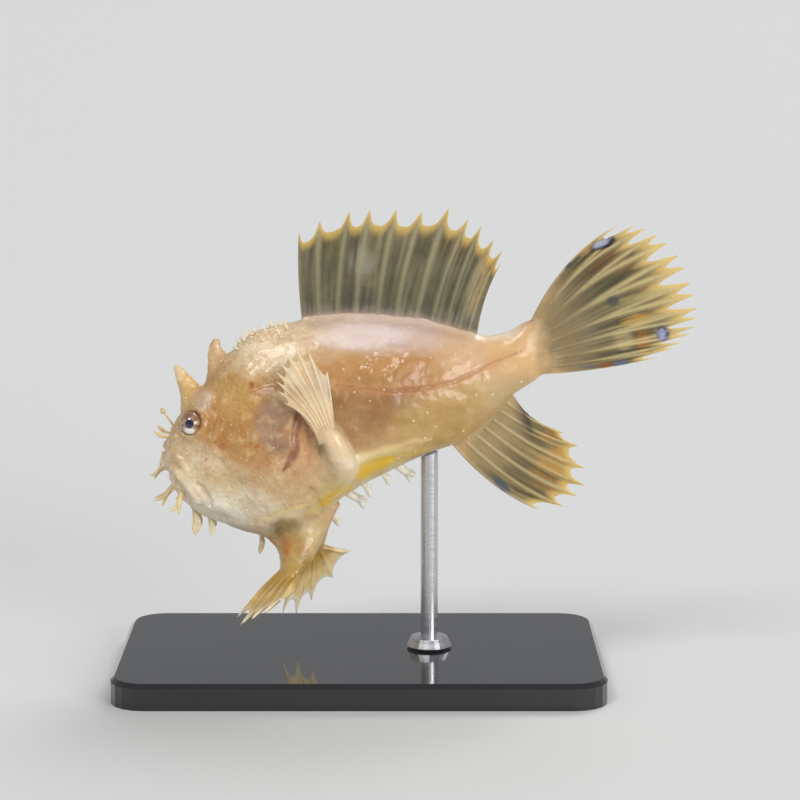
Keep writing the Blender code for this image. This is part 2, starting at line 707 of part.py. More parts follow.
def build_pectoral(word, whole, shown, helpers):
    turn = mirrored if word == "right" else list
    arm = limb("arm_" + word, turn(ARM_PATH), ARM_WIDTHS, ARM_DEPTHS, shown, sides=12, count=10)
    cut_clear(arm, [whole], helpers)
    made = fin(
        "fin_pectoral_" + word, turn(spread(*PECTORAL_ROOTS, len(PECTORAL_TIPS))), turn(PECTORAL_TIPS),
        turn(PECTORAL_BOW), shown, **PECTORAL_FORM,
    )
    cut_clear(made, [arm, whole], helpers, solver="MANIFOLD")


def build_pelvic(word, whole, shown, helpers):
    left = word == "left"
    path = LEFT_LEG_PATH if left else RIGHT_LEG_PATH
    roots = LEFT_FOOT_ROOTS if left else RIGHT_FOOT_ROOTS
    tips = LEFT_FOOT_TIPS if left else RIGHT_FOOT_TIPS
    leg = limb("leg_" + word, path, LEG_WIDTHS, LEG_DEPTHS, shown, sides=14, count=8)
    cut_clear(leg, [whole], helpers)
    foot = fin("fin_pelvic_" + word, spread(*roots, len(tips)), tips, FOOT_BOW, shown, **FOOT_FORM)
    cut_clear(foot, [leg, whole], helpers, solver="MANIFOLD")


def build_spines(whole, head, surface, shown, helpers):
    lure = limb(
        "spine_lure", plane_points(LURE_PATH), (LURE_RADIUS,) * 3, (LURE_RADIUS,) * 3, shown, sides=8, count=6
    )
    bait = ball("bait", (LURE_PATH[-1][0], 0, LURE_PATH[-1][1]), BAIT_RADIUS, helpers, segments=8)
    fuse(lure, [bait])
    horn = limb("spine_second", plane_points(HORN_PATH), HORN_WIDTHS, HORN_DEPTHS, shown, sides=12, count=8)
    prickles = []
    for share in HORN_PRICKLES:
        x, z, width = smooth_path([(*p, w) for p, w in zip(HORN_PATH, HORN_WIDTHS)], 101)[int(share * 100)]
        place = np.array((x + width * 0.75, 0.0, z + width * 0.35))
        prickles.append(bristle(place, (0.5, 0, 0.8), 0.6, 0.24, helpers))
    fuse(horn, prickles)
    crest = limb(
        "spine_third", plane_points(CREST_PATH), CREST_WIDTHS, CREST_DEPTHS, shown, sides=12, count=8
    )
    for spine in (lure, horn, crest):
        cut_clear(spine, [head], helpers)


def cylinder(name, low_radius, high_radius, low, high, collection, sides=24):
    """A round upright piece on the rod's axis, between two heights."""
    made = bmesh.new()
    bmesh.ops.create_cone(
        made, cap_ends=True, segments=sides, radius1=low_radius * MM, radius2=high_radius * MM,
        depth=(high - low) * MM,
    )
    bmesh.ops.translate(made, vec=Vector((ROD_X, 0, (low + high) / 2)) * MM, verts=made.verts)
    mesh = bpy.data.meshes.new(name)
    made.to_mesh(mesh)
    made.free()
    thing = bpy.data.objects.new(name, mesh)
    collection.objects.link(thing)
    return thing


def build_stand(whole, shown, helpers):
    made = bmesh.new()
    bmesh.ops.create_cube(made, size=1.0)
    size = Vector((BASE_LENGTH, BASE_WIDTH, BASE_HEIGHT)) * MM
    bmesh.ops.scale(made, vec=size, verts=made.verts)
    bmesh.ops.translate(made, vec=Vector((0, 0, size.z / 2)), verts=made.verts)
    upright = [e for e in made.edges if abs(e.verts[0].co.z - e.verts[1].co.z) > size.z / 2]
    bmesh.ops.bevel(made, geom=upright, offset=BASE_CORNER * MM, segments=5, affect="EDGES", profile=0.5)
    rim = [e for e in made.edges if min(v.co.z for v in e.verts) > size.z * 0.99]
    bmesh.ops.bevel(made, geom=rim, offset=BASE_CHAMFER * MM, segments=1, affect="EDGES")
    mesh = bpy.data.meshes.new("stand_base")
    made.to_mesh(mesh)
    made.free()
    base = bpy.data.objects.new("stand_base", mesh)
    shown.objects.link(base)

    rod = cylinder("stand_rod", ROD_RADIUS, ROD_RADIUS, BASE_HEIGHT + GAP, ROD_HIDDEN_TOP, shown)
    foot = cylinder(
        "rod_foot", ROD_FOOT_RADIUS, ROD_FOOT_TOP_RADIUS, BASE_HEIGHT + GAP,
        BASE_HEIGHT + GAP + ROD_FOOT_HEIGHT, helpers,
    )
    fuse(rod, [foot])
    cut_clear(rod, [whole], helpers)


def finish_object(thing, look, angle=40):
    thing.data.materials.clear()
    thing.data.materials.append(look)
    thing.data.shade_smooth()
    thing.data.set_sharp_from_angle(angle=math.radians(angle))


def main():
    clear_scene()
    shown = make_collection("sargassum_fish")
    helpers = make_collection("helpers", shown=False)

    whole = loft("whole_body", body_rings(), helpers)
    surface = Surface(whole)

    head = build_head(whole, surface, shown, helpers)
    front = half_body(whole, "trunk", HEAD_CUT, 1, helpers)
    trunk = half_body(front, "trunk_node", STALK_CUT, -1, shown)
    drop_object(front)
    trunk.name = "trunk"
    half_body(whole, "tail_stalk", STALK_CUT, 1, shown)
    fuse(trunk, tassels_on(surface, BELLY_TASSELS, helpers))

    build_median_fins(whole, surface, shown, helpers)
    build_spines(whole, head, surface, shown, helpers)
    for word in ("left", "right"):
        build_pectoral(word, whole, shown, helpers)
        build_pelvic(word, whole, shown, helpers)
    build_stand(whole, shown, helpers)
    drop_object(whole)

    skin = material("skin", (0.62, 0.42, 0.24), 0.45)
    membrane = material("fin_membrane", (0.50, 0.42, 0.26), 0.4)
    eye = material("eye", (0.10, 0.09, 0.12), 0.1)
    base = material("stand_base", (0.02, 0.02, 0.022), 0.12)
    steel = material("stand_rod", (0.6, 0.6, 0.62), 0.3, 1.0)
    for thing in shown.objects:
        look = skin
        if thing.name.startswith("fin_"):
            look = membrane
        elif thing.name.startswith("eye_"):
            look = eye
        elif thing.name == "stand_base":
            look = base
        elif thing.name == "stand_rod":
            look = steel
        finish_object(thing, look)


main()
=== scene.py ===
# %% [markdown]
# # A sargassum fish at life size
#
# The fish hovers head down over a flat black base, held by one steel rod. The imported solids
# give every size and place. This lesson dresses them: one moist skin over all the flesh, fins
# with a ray in every ridge, two wet eyes, and the small flaps and warts that hide the animal
# among floating weed. Sizes are in millimetres and become metres as each mesh is made.

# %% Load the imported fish
import math
import random

import bmesh
import bpy
import numpy as np
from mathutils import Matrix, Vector, noise
from mathutils.bvhtree import BVHTree


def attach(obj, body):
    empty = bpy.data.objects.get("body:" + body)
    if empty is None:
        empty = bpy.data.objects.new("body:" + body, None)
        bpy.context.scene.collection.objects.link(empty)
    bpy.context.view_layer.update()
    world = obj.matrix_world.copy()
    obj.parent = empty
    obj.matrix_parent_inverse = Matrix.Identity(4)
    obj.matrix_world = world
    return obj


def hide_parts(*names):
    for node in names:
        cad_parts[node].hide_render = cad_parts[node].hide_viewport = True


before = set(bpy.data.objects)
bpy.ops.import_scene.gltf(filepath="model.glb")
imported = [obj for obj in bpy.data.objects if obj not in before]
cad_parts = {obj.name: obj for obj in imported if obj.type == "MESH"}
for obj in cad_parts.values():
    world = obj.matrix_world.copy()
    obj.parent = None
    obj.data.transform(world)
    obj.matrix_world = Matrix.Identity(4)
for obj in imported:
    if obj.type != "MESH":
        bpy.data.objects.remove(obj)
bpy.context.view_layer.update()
MM = 0.001

# %% [markdown]
# ## Meshes as arrays of numbers
#
# A soft animal has no straight edges to model one by one. Its points are easiest to shape as
# arrays: one function turns points and faces into an object, and two more read the points
# back and set them again.

# %% Points in and out of a mesh
def unit(vector):
    vector = np.asarray(vector, float)
    return vector / np.maximum(np.linalg.norm(vector, axis=-1, keepdims=True), 1e-12)


def link(name, data):
    """An object in the scene for a mesh, a camera or a lamp."""
    thing = bpy.data.objects.new(name, data)
    bpy.context.scene.collection.objects.link(thing)
    return thing


def show(name, mesh):
    """An object for a mesh, shaded smooth."""
    mesh.shade_smooth()
    return link(name, mesh)


def new_object(name, points, faces):
    """A smooth mesh object from points in millimetres."""
    mesh = bpy.data.meshes.new(name)
    mesh.from_pydata((np.asarray(points, float) * MM).tolist(), [], faces)
    mesh.update()
    return show(name, mesh)


def from_bmesh(name, made):
    """An object from a bmesh, which is freed."""
    mesh = bpy.data.meshes.new(name)
    made.to_mesh(mesh)
    made.free()
    return show(name, mesh)


def places_of(thing):
    """An object's points, in millimetres."""
    found = np.zeros(len(thing.data.vertices) * 3)
    thing.data.vertices.foreach_get("co", found)
    return found.reshape(-1, 3) / MM


def normals_of(thing):
    found = np.zeros(len(thing.data.vertices) * 3)
    thing.data.vertex_normals.foreach_get("vector", found)
    return found.reshape(-1, 3)


def set_places(thing, places):
    thing.data.vertices.foreach_set("co", (places * MM).ravel())
    thing.data.update()


print("points in the solid head:", len(places_of(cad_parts["head"])))

# %% [markdown]
# ## Masks, colours and the finishing of a piece
#
# A number or a colour can be stored at every point, where the material reads it as an
# attribute. It stays with the surface, so it needs no unwrapping. Each finished piece gets its
# material, its body and the solids that it stands for.

# %% Masks, colours and finishing
def set_mask(thing, name, values):
    """A number at every point, for the material to read."""
    layer = thing.data.attributes.new(name, "FLOAT", "POINT")
    layer.data.foreach_set("value", np.asarray(values, float))


def set_tint(thing, colours):
    """A colour at every point, for the material to read."""
    layer = thing.data.color_attributes.new("tint", "FLOAT_COLOR", "POINT")
    rgba = np.ones((len(colours), 4))
    rgba[:, :3] = colours
    layer.data.foreach_set("color", rgba.ravel())


def finish_piece(thing, look, slot, *nodes):
    thing.data.materials.clear()
    thing.data.materials.append(look)
    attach(thing, "root")
    if nodes:
        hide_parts(*nodes)
    print(thing.name, len(thing.data.polygons), "faces")


# How fast the noise's octaves weaken, how much finer each one is, and how far apart two seeds lie
FALL_OFF, FINER = 0.9, 2.0
SEED_STEP = (7.1, 3.3, 5.7)


def wavy(places, scale, seed=0.0, octaves=3):
    """Smooth noise from -1 to 1 at every point, with bumps of about the scale in millimetres."""
    offset = Vector([seed * step for step in SEED_STEP])
    moved = (Vector(place) / scale + offset for place in places)
    return np.array([noise.fractal(place, FALL_OFF, FINER, octaves) for place in moved])


def near(distance, soft, inner=0.0):
    """1 up to the inner distance, falling in a soft curve to 0 over the soft distance beyond it."""
    share = np.clip(1 - (distance - inner) / soft, 0, 1)
    return share**2 * (3 - 2 * share)


def above(values, start, length):
    """0 up to the start, rising evenly to 1 over the length."""
    return np.clip((values - start) / length, 0, 1)


def below(values, start, length):
    """0 down to the start, rising evenly to 1 over the length."""
    return np.clip((start - values) / length, 0, 1)


print("a soft edge falls off like this:", near(np.linspace(0, 1, 5), 1.0).round(2))

# %% [markdown]
# ## The camera comes first
#
# The camera stands 300 mm away and 10 degrees above the fish, as it did for the photograph,
# so that every later choice can be judged in the same frame.

# %% Camera
VIEW_CENTRE = (4.6, 0.0, 32.3)
VIEW_WIDTH = 92.0
VIEW_DISTANCE = 300.0
VIEW_ELEVATION = math.radians(10)
CLIP_START = 5.0


def add_camera():
    camera = link("camera", bpy.data.cameras.new("camera"))
    back = Vector((0, -math.cos(VIEW_ELEVATION), math.sin(VIEW_ELEVATION)))
    camera.location = (Vector(VIEW_CENTRE) + back * VIEW_DISTANCE) * MM
    camera.rotation_euler = (-back).to_track_quat("-Z", "Y").to_euler()
    camera.data.angle = 2 * math.atan(VIEW_WIDTH / 2 / VIEW_DISTANCE)
    camera.data.clip_start = CLIP_START * MM
    bpy.context.scene.camera = camera
    print("camera at", [round(c, 3) for c in camera.location])


add_camera()

# %% [markdown]
# ## Lofts
#
# A fish's body is a row of sections from lips to tail, and a limb is a row of ellipses along
# a bent path. Both are lofts: rings of points joined by quads and closed at both ends. The
# rows between the given ones lie on a smooth curve, so few numbers give a soft form.

# %% Smooth paths and lofts
def smooth_path(rows, count):
    """Rows of numbers made into count rows, on a smooth curve through the given ones."""
    rows = np.array(rows, float)
    last = len(rows) - 1
    slopes = np.gradient(rows, axis=0)
    place = np.linspace(0, last, count)
    i = np.minimum(place.astype(int), last - 1)
    t = (place - i)[:, None]
    return (
        (2 * t**3 - 3 * t**2 + 1) * rows[i]
        + (t**3 - 2 * t**2 + t) * slopes[i]
        + (3 * t**2 - 2 * t**3) * rows[i + 1]
        + (t**3 - t**2) * slopes[i + 1]
    )


def turn_outwards(thing):
    """Turns a closed mesh's faces outwards."""
    made = bmesh.new()
    made.from_mesh(thing.data)
    bmesh.ops.recalc_face_normals(made, faces=made.faces)
    if made.calc_volume(signed=True) < 0:
        bmesh.ops.reverse_faces(made, faces=made.faces)
    made.to_mesh(thing.data)
    made.free()
    thing.data.shade_smooth()


def loft(name, rings):
    """A closed skin over rings that have the same number of points each."""
    rings = np.array(rings)
    count, sides = rings.shape[:2]
    r, s = np.meshgrid(np.arange(count - 1), np.arange(sides), indexing="ij")
    near_row, far_row, following = r * sides, (r + 1) * sides, (s + 1) % sides
    faces = np.stack([near_row + s, near_row + following, far_row + following, far_row + s], -1)
    faces = faces.reshape(-1, 4).tolist()
    faces.append(list(range(sides))[::-1])
    faces.append(list(range(count * sides - sides, count * sides)))
    thing = new_object(name, rings.reshape(-1, 3), faces)
    turn_outwards(thing)
    return thing


print("half way along a bent path:", smooth_path(((0, 0), (1, 1), (2, 0)), 5)[2].round(2))

# %% [markdown]
# ## The body's form
#
# The body is deep and narrow: high at the nape, full at the throat and thin at the tail. The
# numbers are those of the solids, so that the skin lies where they are.

# %% Sections of the body
# x and z of the back, x and z of the belly, half width, how much the back is narrower
BODY_STATIONS = (
    (-22.2, 27.2, -22.2, 25.4, 1.2, 0.00),
    (-21.9, 28.6, -21.9, 23.4, 2.7, 0.00),
    (-21.3, 29.9, -21.3, 21.7, 3.4, 0.00),
    (-20.2, 31.4, -20.1, 20.4, 4.1, 0.02),
    (-18.7, 33.1, -18.6, 19.2, 4.8, 0.04),
    (-17.0, 35.3, -16.6, 18.3, 5.5, 0.06),
    (-14.7, 38.0, -13.8, 17.2, 6.2, 0.08),
    (-12.0, 40.2, -10.8, 16.4, 6.8, 0.10),
    (-8.9, 41.0, -8.1, 16.4, 7.2, 0.12),
    (-6.4, 41.5, -5.5, 17.8, 7.2, 0.14),
    (-3.5, 41.8, -2.8, 20.4, 6.9, 0.16),
    (0.0, 41.8, 0.5, 22.6, 6.4, 0.18),
    (4.0, 41.5, 4.3, 24.6, 5.7, 0.18),
    (8.1, 40.9, 8.1, 26.3, 4.8, 0.16),
    (11.5, 40.2, 11.7, 27.7, 3.9, 0.12),
    (14.5, 39.8, 15.0, 30.4, 3.0, 0.08),
    (17.0, 40.3, 17.8, 33.1, 2.4, 0.04),
    (18.9, 41.4, 20.2, 34.7, 1.9, 0.00),
    (20.3, 41.7, 22.0, 36.0, 1.2, 0.00),
)
FLANK_POWER = 0.85
RING_POINTS = 120
RINGS = 145


def body_loft():
    rings = []
    angle = np.arange(RING_POINTS) * 2 * math.pi / RING_POINTS
    for top_x, top_z, low_x, low_z, half_width, narrowing in smooth_path(BODY_STATIONS, RINGS):
        top, low = np.array((top_x, 0, top_z)), np.array((low_x, 0, low_z))
        height, breadth = np.sin(angle), np.cos(angle)
        out = np.sign(breadth) * np.abs(breadth) ** FLANK_POWER * (1 - narrowing * height)
        ring = (top + low) / 2 + height[:, None] * (top - low) / 2
        ring[:, 1] += half_width * out
        rings.append(ring)
    return loft("body", rings)


body = body_loft()
print("body of", len(body.data.vertices), "points")

# %% [markdown]
# ## Limbs, balls and places on the skin
#
# A limb could be a row of balls, but a loft along its path bends without lumps. To set a fin,
# a lip or an eye on the body, a ray is shot at the body's mesh, and it gives the place it
# hits and the way the skin faces there.

# %% Limbs and balls
CAP_TURNS = (30, 60, 80)
CAP_REACH = 0.6


def limb(name, path, widths, depths, side=(0, 1, 0), sides=32, count=40, end=True):
    """A tapering limb: elliptical sections across a smooth path, with a rounded end."""
    rows = smooth_path([(*p, w, d) for p, w, d in zip(path, widths, depths)], count)
    centres = rows[:, :3]
    along = unit(np.gradient(centres, axis=0))
    angle = (np.arange(sides) * 2 * math.pi / sides)[:, None]
    cos, sin = np.cos(angle), np.sin(angle)
    rings = []
    for centre, tangent, (width, depth) in zip(centres, along, rows[:, 3:]):
        across = unit(np.array(side, float) - tangent * np.dot(side, tangent))
        up = np.cross(tangent, across)
        rings.append(centre + width * cos * up + depth * sin * across)
    if end:
        reach = CAP_REACH * min(widths[-1], depths[-1])
        for turn in CAP_TURNS:
            share = math.radians(turn)
            cap = centres[-1] + (rings[count - 1] - centres[-1]) * math.cos(share)
            rings.append(cap + along[-1] * reach * math.sin(share))
    return loft(name, rings)


def ball(name, place, radius, stretch=(1, 1, 1), segments=24):
    made = bmesh.new()
    rings = segments // 2
    bmesh.ops.create_uvsphere(made, u_segments=segments, v_segments=rings, radius=radius * MM)
    bmesh.ops.scale(made, vec=stretch, verts=made.verts)
    bmesh.ops.translate(made, vec=Vector([float(c) * MM for c in place]), verts=made.verts)
    return from_bmesh(name, made)


def join(things, name):
    """Several objects made one."""
    made = bmesh.new()
    for thing in things:
        made.from_mesh(thing.data)
        bpy.data.objects.remove(thing)
    return from_bmesh(name, made)


print("helpers for limbs ready")

# %% Places on the skin
FAR = 100.0


class Surface:
    """Finds places on the outside of a mesh, in millimetres."""

    def __init__(self, thing):
        made = bmesh.new()
        made.from_mesh(thing.data)
        self.tree = BVHTree.FromBMesh(made)
        made.free()

    def shoot(self, start, way):
        """The place that a ray hits and the way the surface faces there, if it hits."""
        place, normal, _, _ = self.tree.ray_cast(Vector(start) * MM, Vector(way))
        return place and (np.array(place) / MM, np.array(normal))

    def nearest(self, point):
        place, normal, _, _ = self.tree.find_nearest(Vector([c * MM for c in point]))
        return np.array(place) / MM, np.array(normal)

    def beside(self, x, z, side=-1):
        return self.shoot((x, side * FAR, z), (0, -side, 0)) or self.nearest((x, 0, z))

    def on_top(self, x, y):
        return self.shoot((x, y, FAR), (0, 0, -1))


hull = Surface(body)
(_, _, back_height), _ = hull.on_top(4.0, 0.0)
print("the back under the dorsal fin is at a height of", round(back_height, 1), "mm")

# %% [markdown]
# ## Fins as ridged sheets
#
# A fin is a thin membrane stretched over rays. Here it is a grid whose columns fan out from
# the root to the tip. Each ray is a curve with one bend, and the fin may sway as a whole and
# ripple from ray to ray.

# %% The fan of rays
def spread(first, last, count):
    """Count points evenly from first to last."""
    shares = np.linspace(0, 1, count)[:, None]
    return np.array(first) + (np.array(last) - np.array(first)) * shares


def plane_points(path):
    return [(x, 0.0, z) for x, z in path]


def ray_points(shape, column, share):
    """Places on the fan of rays. Column counts rays, and share runs from 0 at the root to 1."""
    roots, tips = np.array(shape["roots"], float), np.array(shape["tips"], float)
    last = len(roots) - 1
    part = np.linspace(0, 1, last + 1)[:, None]
    bows = shape["bows"]
    middles = (roots + tips) / 2 + np.array(bows[0]) * (1 - part) + np.array(bows[1]) * part
    roots = roots - unit(middles - roots) * shape["sink"]
    i = np.minimum(column.astype(int), last - 1)
    t = (column - i)[:, None]
    a, b, d = (v[i] + (v[i + 1] - v[i]) * t for v in (roots, middles, tips))
    s = share[:, :, None]
    grid = (1 - s) ** 2 * a[:, None] + 2 * s * (1 - s) * b[:, None] + s**2 * d[:, None]
    across = unit(np.cross(tips[-1] - roots[0], tips[0] - roots[-1]))
    sway = shape.get("wave", 0.0) * share**2 * np.sin(column[:, None] / last * 2 * math.pi)
    ripple = shape.get("twist", 0.0) * share**2 * np.sin(column[:, None] * math.pi)
    return grid + across * (sway + ripple)[:, :, None]


print("three places from one end to the other:", spread((0, 0, 0), (1, 0, 2), 3).tolist())

# %% [markdown]
# ## The sheet
#
# A flat grid has no thickness, and a Solidify modifier gives the same one everywhere. Real
# webs thin out to the margin, so the two sides are set apart by a half thickness of their own
# at every point, and a rim of quads closes the sheet.

# %% A closed sheet
def sheet(name, grid, half):
    """A closed sheet of the given half thickness on both sides of a grid of places."""
    columns, rows = grid.shape[:2]
    normals = unit(np.cross(np.gradient(grid, axis=0), np.gradient(grid, axis=1)))
    fronts = (grid + normals * half[:, :, None]).reshape(-1, 3)
    backs = (grid - normals * half[:, :, None]).reshape(-1, 3)
    c, r = np.meshgrid(np.arange(columns - 1), np.arange(rows - 1), indexing="ij")
    quad = np.stack([c, c + 1, c + 1, c], -1) * rows + np.stack([r, r, r + 1, r + 1], -1)
    quad = quad.reshape(-1, 4)
    count = columns * rows
    faces = quad.tolist() + (quad[:, ::-1] + count).tolist()
    ids = np.arange(count).reshape(columns, rows)
    rim = np.concatenate([ids[:, 0], ids[-1, 1:], ids[-2::-1, -1], ids[0, -2:0:-1]])
    following = np.roll(rim, -1)
    faces += np.stack([following, rim, rim + count, following + count], -1).tolist()
    thing = new_object(name, np.concatenate([fronts, backs]), faces)
    turn_outwards(thing)
    return thing


print("sheet maker ready")

# %% [markdown]
# ## Ridges, bays and forks
#
# Near a ray the sheet is thicker and reaches further. Between two rays its margin falls back
# into a small bay, a little torn at random. In the tail most rays split in two half way. The
# same numbers that raise the ridges are kept as masks for the material.

# %% The fin maker
# Breadths are shares of the gap between two rays, and places are shares of a ray's length
RIDGE_BREADTH = 0.13
BAY_BREADTH, BAY_CURVE = 0.15, 1.3
FORK_FROM, FORK_LENGTH, FORK_SPREAD, FORK_CURVE = 0.42, 0.5, 0.23, 1.2
FORK_BAY = 0.62
TIP_THINNING = 0.35
MARGIN_FROM = 0.72
MARGIN_THINNING = 0.75
END_THINNING = 0.7
# Where a root's swelling fades out, as shares of the fin's fleshy part
SWELL_FADE, SWELL_CORE = 1.4, 0.8
KNOTS_PER_RAY = 5
UNTORN = 0.04


def margin(shape, column, from_crest, split, seed):
    """How far each column reaches, as a share of the ray's length."""
    last = len(shape["roots"]) - 1
    bay = shape["notch"] * (1 - np.exp(-((from_crest / BAY_BREADTH) ** BAY_CURVE)))
    off = np.abs(column - np.rint(column))
    bay = np.where(split & (off < FORK_SPREAD), bay * FORK_BAY, bay)
    knots = np.linspace(0, last, last * KNOTS_PER_RAY + 1)
    torn = np.abs(np.interp(column, knots, np.random.default_rng(seed).normal(size=len(knots))))
    return 1 - bay - shape.get("ragged", 0.0) * torn * (from_crest > UNTORN)


def half_thickness(shape, share, along, ridge):
    """Half the thickness: more over a ray, less at the margin, and that of flesh at the root."""
    half = shape["web"] + (shape["crest"] - shape["web"]) * ridge * (1 - TIP_THINNING * along)
    to_margin = above(share[None, :], MARGIN_FROM, 1 - MARGIN_FROM)
    half = half * (1 - MARGIN_THINNING * to_margin**2)
    flesh = shape["flesh"]
    half = half + shape["swell"] * near(along, SWELL_FADE * flesh, SWELL_CORE * flesh)
    half[0] *= END_THINNING
    half[-1] *= END_THINNING
    return half


def make_fin(name, shape, seed, per_ray, rows):
    """The fin's sheet with a ridge over every ray, and its masks for the material."""
    last = len(shape["roots"]) - 1
    column = np.linspace(0, last, last * per_ray + 1)
    share = np.linspace(0, 1, rows + 1)
    off = column - np.rint(column)
    split = np.isin(np.rint(column), list(shape.get("forked", ())))
    # How far each column is from the crest of its ray, or from that of its nearer branch
    parted = FORK_SPREAD * above(share[None, :], FORK_FROM, FORK_LENGTH) ** FORK_CURVE
    from_crest = np.abs(np.abs(off)[:, None] - np.where(split[:, None], parted, 0.0))
    ridge = np.exp(-((from_crest / RIDGE_BREADTH) ** 2))
    along = share[None, :] * margin(shape, column, from_crest[:, -1], split, seed)[:, None]
    half = half_thickness(shape, share, along, ridge)
    thing = sheet(name, ray_points(shape, column, along), half)
    masks = {
        "ray": ridge,
        "along": along,
        "column": np.repeat(column[:, None], rows + 1, 1),
        "rim": np.repeat(share[None, :], len(column), 0),
    }
    # The front and the back of the sheet have the same masks
    masks = {key: np.tile(values.ravel(), 2) for key, values in masks.items()}
    set_mask(thing, "ray", masks["ray"])
    return thing, masks


print("fin maker ready")

# %% [markdown]
# ## Where each ray starts and ends
#
# These are the fins' driving sizes, the same as those of the solids: the root and the tip of
# each ray. The far fins follow the near ones, as in life.

# %% Fins of the midline
DORSAL_ROOTS_X = (-6.6, -4.7, -2.6, -0.5, 2.0, 4.0, 6.2, 8.1, 9.8, 11.2, 12.4, 13.4)
DORSAL_TIPS = (
    (-6.9, 51.6), (-4.5, 53.0), (-1.1, 54.1), (1.2, 54.3), (4.2, 54.3), (7.1, 54.1),
    (10.2, 54.5), (12.4, 53.2), (13.9, 52.4), (15.3, 50.8), (16.3, 49.6), (16.1, 48.1),
)
TAIL_TIPS = (
    (29.6, 52.6), (31.9, 52.5), (34.6, 51.2), (36.9, 48.5), (38.2, 45.2),
    (38.9, 42.3), (38.3, 40.3), (36.6, 38.6), (34.2, 37.3),
)
TAIL_ROOTS = ((19.6, 41.6), (21.6, 35.4))
ANAL_TIPS = (
    (20.6, 19.4), (23.6, 19.7), (25.3, 20.9), (26.0, 22.2),
    (26.0, 24.3), (25.1, 27.0), (23.5, 28.5), (21.1, 29.2),
)
ANAL_ROOTS = ((10.4, 27.4), (17.4, 33.2))
print("rays of the dorsal, tail and anal fins:", len(DORSAL_TIPS), len(TAIL_TIPS), len(ANAL_TIPS))

# %% Arms, legs and their fins
ARM_PATH = ((-4.4, -4.2, 23.2), (-2.1, -6.8, 25.6), (-2.4, -8.2, 28.0), (-3.5, -8.5, 30.2))
ARM_WIDTHS = (2.2, 1.8, 1.4, 1.05)
ARM_DEPTHS = (1.6, 1.5, 1.1, 0.75)
PECTORAL_TIPS = (
    (-3.5, -7.6, 36.9), (-5.6, -7.4, 39.1), (-7.1, -7.3, 39.5), (-8.2, -7.4, 39.0),
    (-8.9, -7.6, 38.0), (-9.3, -7.8, 36.9), (-9.3, -8.1, 35.9), (-9.1, -8.4, 34.8),
    (-8.4, -8.7, 33.5),
)
PECTORAL_ROOTS = ((-2.7, -8.4, 30.6), (-4.7, -8.6, 29.5))
LEFT_LEG_PATH = ((-6.3, -1.6, 20.0), (-6.7, -3.2, 16.6), (-7.6, -4.6, 13.6))
RIGHT_LEG_PATH = ((-5.9, 1.6, 20.0), (-5.9, 3.0, 16.8), (-5.8, 4.0, 14.2))
LEG_WIDTHS = (3.7, 2.4, 1.6)
LEG_DEPTHS = (2.0, 1.7, 1.3)
LEFT_FOOT_ROOTS = ((-9.0, -4.0, 13.0), (-6.9, -5.6, 12.6))
LEFT_FOOT_TIPS = (
    (-14.2, -4.6, 7.7), (-13.6, -6.7, 7.4), (-12.2, -9.0, 8.7), (-10.7, -10.5, 9.8),
    (-8.9, -11.0, 11.4),
)
RIGHT_FOOT_ROOTS = ((-7.2, 4.0, 13.6), (-4.4, 4.6, 14.0))
RIGHT_FOOT_TIPS = (
    (-9.3, 3.6, 5.9), (-7.7, 4.6, 5.8), (-5.9, 5.6, 7.2), (-3.4, 6.5, 9.7), (-1.2, 7.0, 12.9),
)


def mirrored(points):
    return [(x, -y, z) for x, y, z in points]


print("rays of an arm's fin and of a foot:", len(PECTORAL_TIPS), len(LEFT_FOOT_TIPS))

# %% [markdown]
# ## The form of every fin
#
# Bows bend the rays at the first and the last one, the notch is the depth of the bays, and
# web and crest are half thicknesses between the rays and over them. At its root each fin
# swells to the thickness of flesh, so that the skin can sink into it without a step.

# %% Make the fins
def fin_shapes():
    """Everything that sets each fin's form, by the name of its part."""
    dorsal_roots = [(x, 0.0, hull.on_top(x, 0.0)[0][2]) for x in DORSAL_ROOTS_X]
    shapes = {}
    shapes["dorsal"] = dict(
        roots=dorsal_roots, tips=plane_points(DORSAL_TIPS), bows=[(-0.5, 0, 0), (-0.9, 0, 0.3)],
        notch=0.15, web=0.07, crest=0.14, wave=0.25, sink=1.0, ragged=0.006, twist=0.12,
    )
    shapes["caudal"] = dict(
        roots=plane_points(spread(*TAIL_ROOTS, len(TAIL_TIPS))), tips=plane_points(TAIL_TIPS),
        bows=[(-1.8, 0, 2.2), (0.2, 0, -0.7)], notch=0.2, web=0.07, crest=0.2,
        forked=range(1, len(TAIL_TIPS) - 1), wave=0.4, sink=1.4, ragged=0.008,
    )
    shapes["anal"] = dict(
        roots=plane_points(spread(*ANAL_ROOTS, len(ANAL_TIPS))), tips=plane_points(ANAL_TIPS),
        bows=[(-0.9, 0, -1.7), (-0.5, 0, -0.7)], notch=0.12, web=0.07, crest=0.19, wave=0.25,
        sink=1.4, ragged=0.008, twist=0.1,
    )
    for word, turn in (("left", list), ("right", mirrored)):
        shapes["pectoral_" + word] = dict(
            roots=turn(spread(*PECTORAL_ROOTS, len(PECTORAL_TIPS))), tips=turn(PECTORAL_TIPS),
            bows=turn([(0.2, -0.4, -0.2), (0.9, -0.4, 0.9)]), notch=0.14, web=0.09, crest=0.26,
            sink=0.8, ragged=0.01, twist=0.08,
        )
    for word, roots, tips in (
        ("left", LEFT_FOOT_ROOTS, LEFT_FOOT_TIPS), ("right", RIGHT_FOOT_ROOTS, RIGHT_FOOT_TIPS),
    ):
        shapes["pelvic_" + word] = dict(
            roots=spread(*roots, len(tips)), tips=tips, bows=[(-0.3, 0, -0.3), (0.3, 0, -0.3)],
            notch=0.24, web=0.12, crest=0.36, sink=1.0, ragged=0.01,
        )
    return shapes


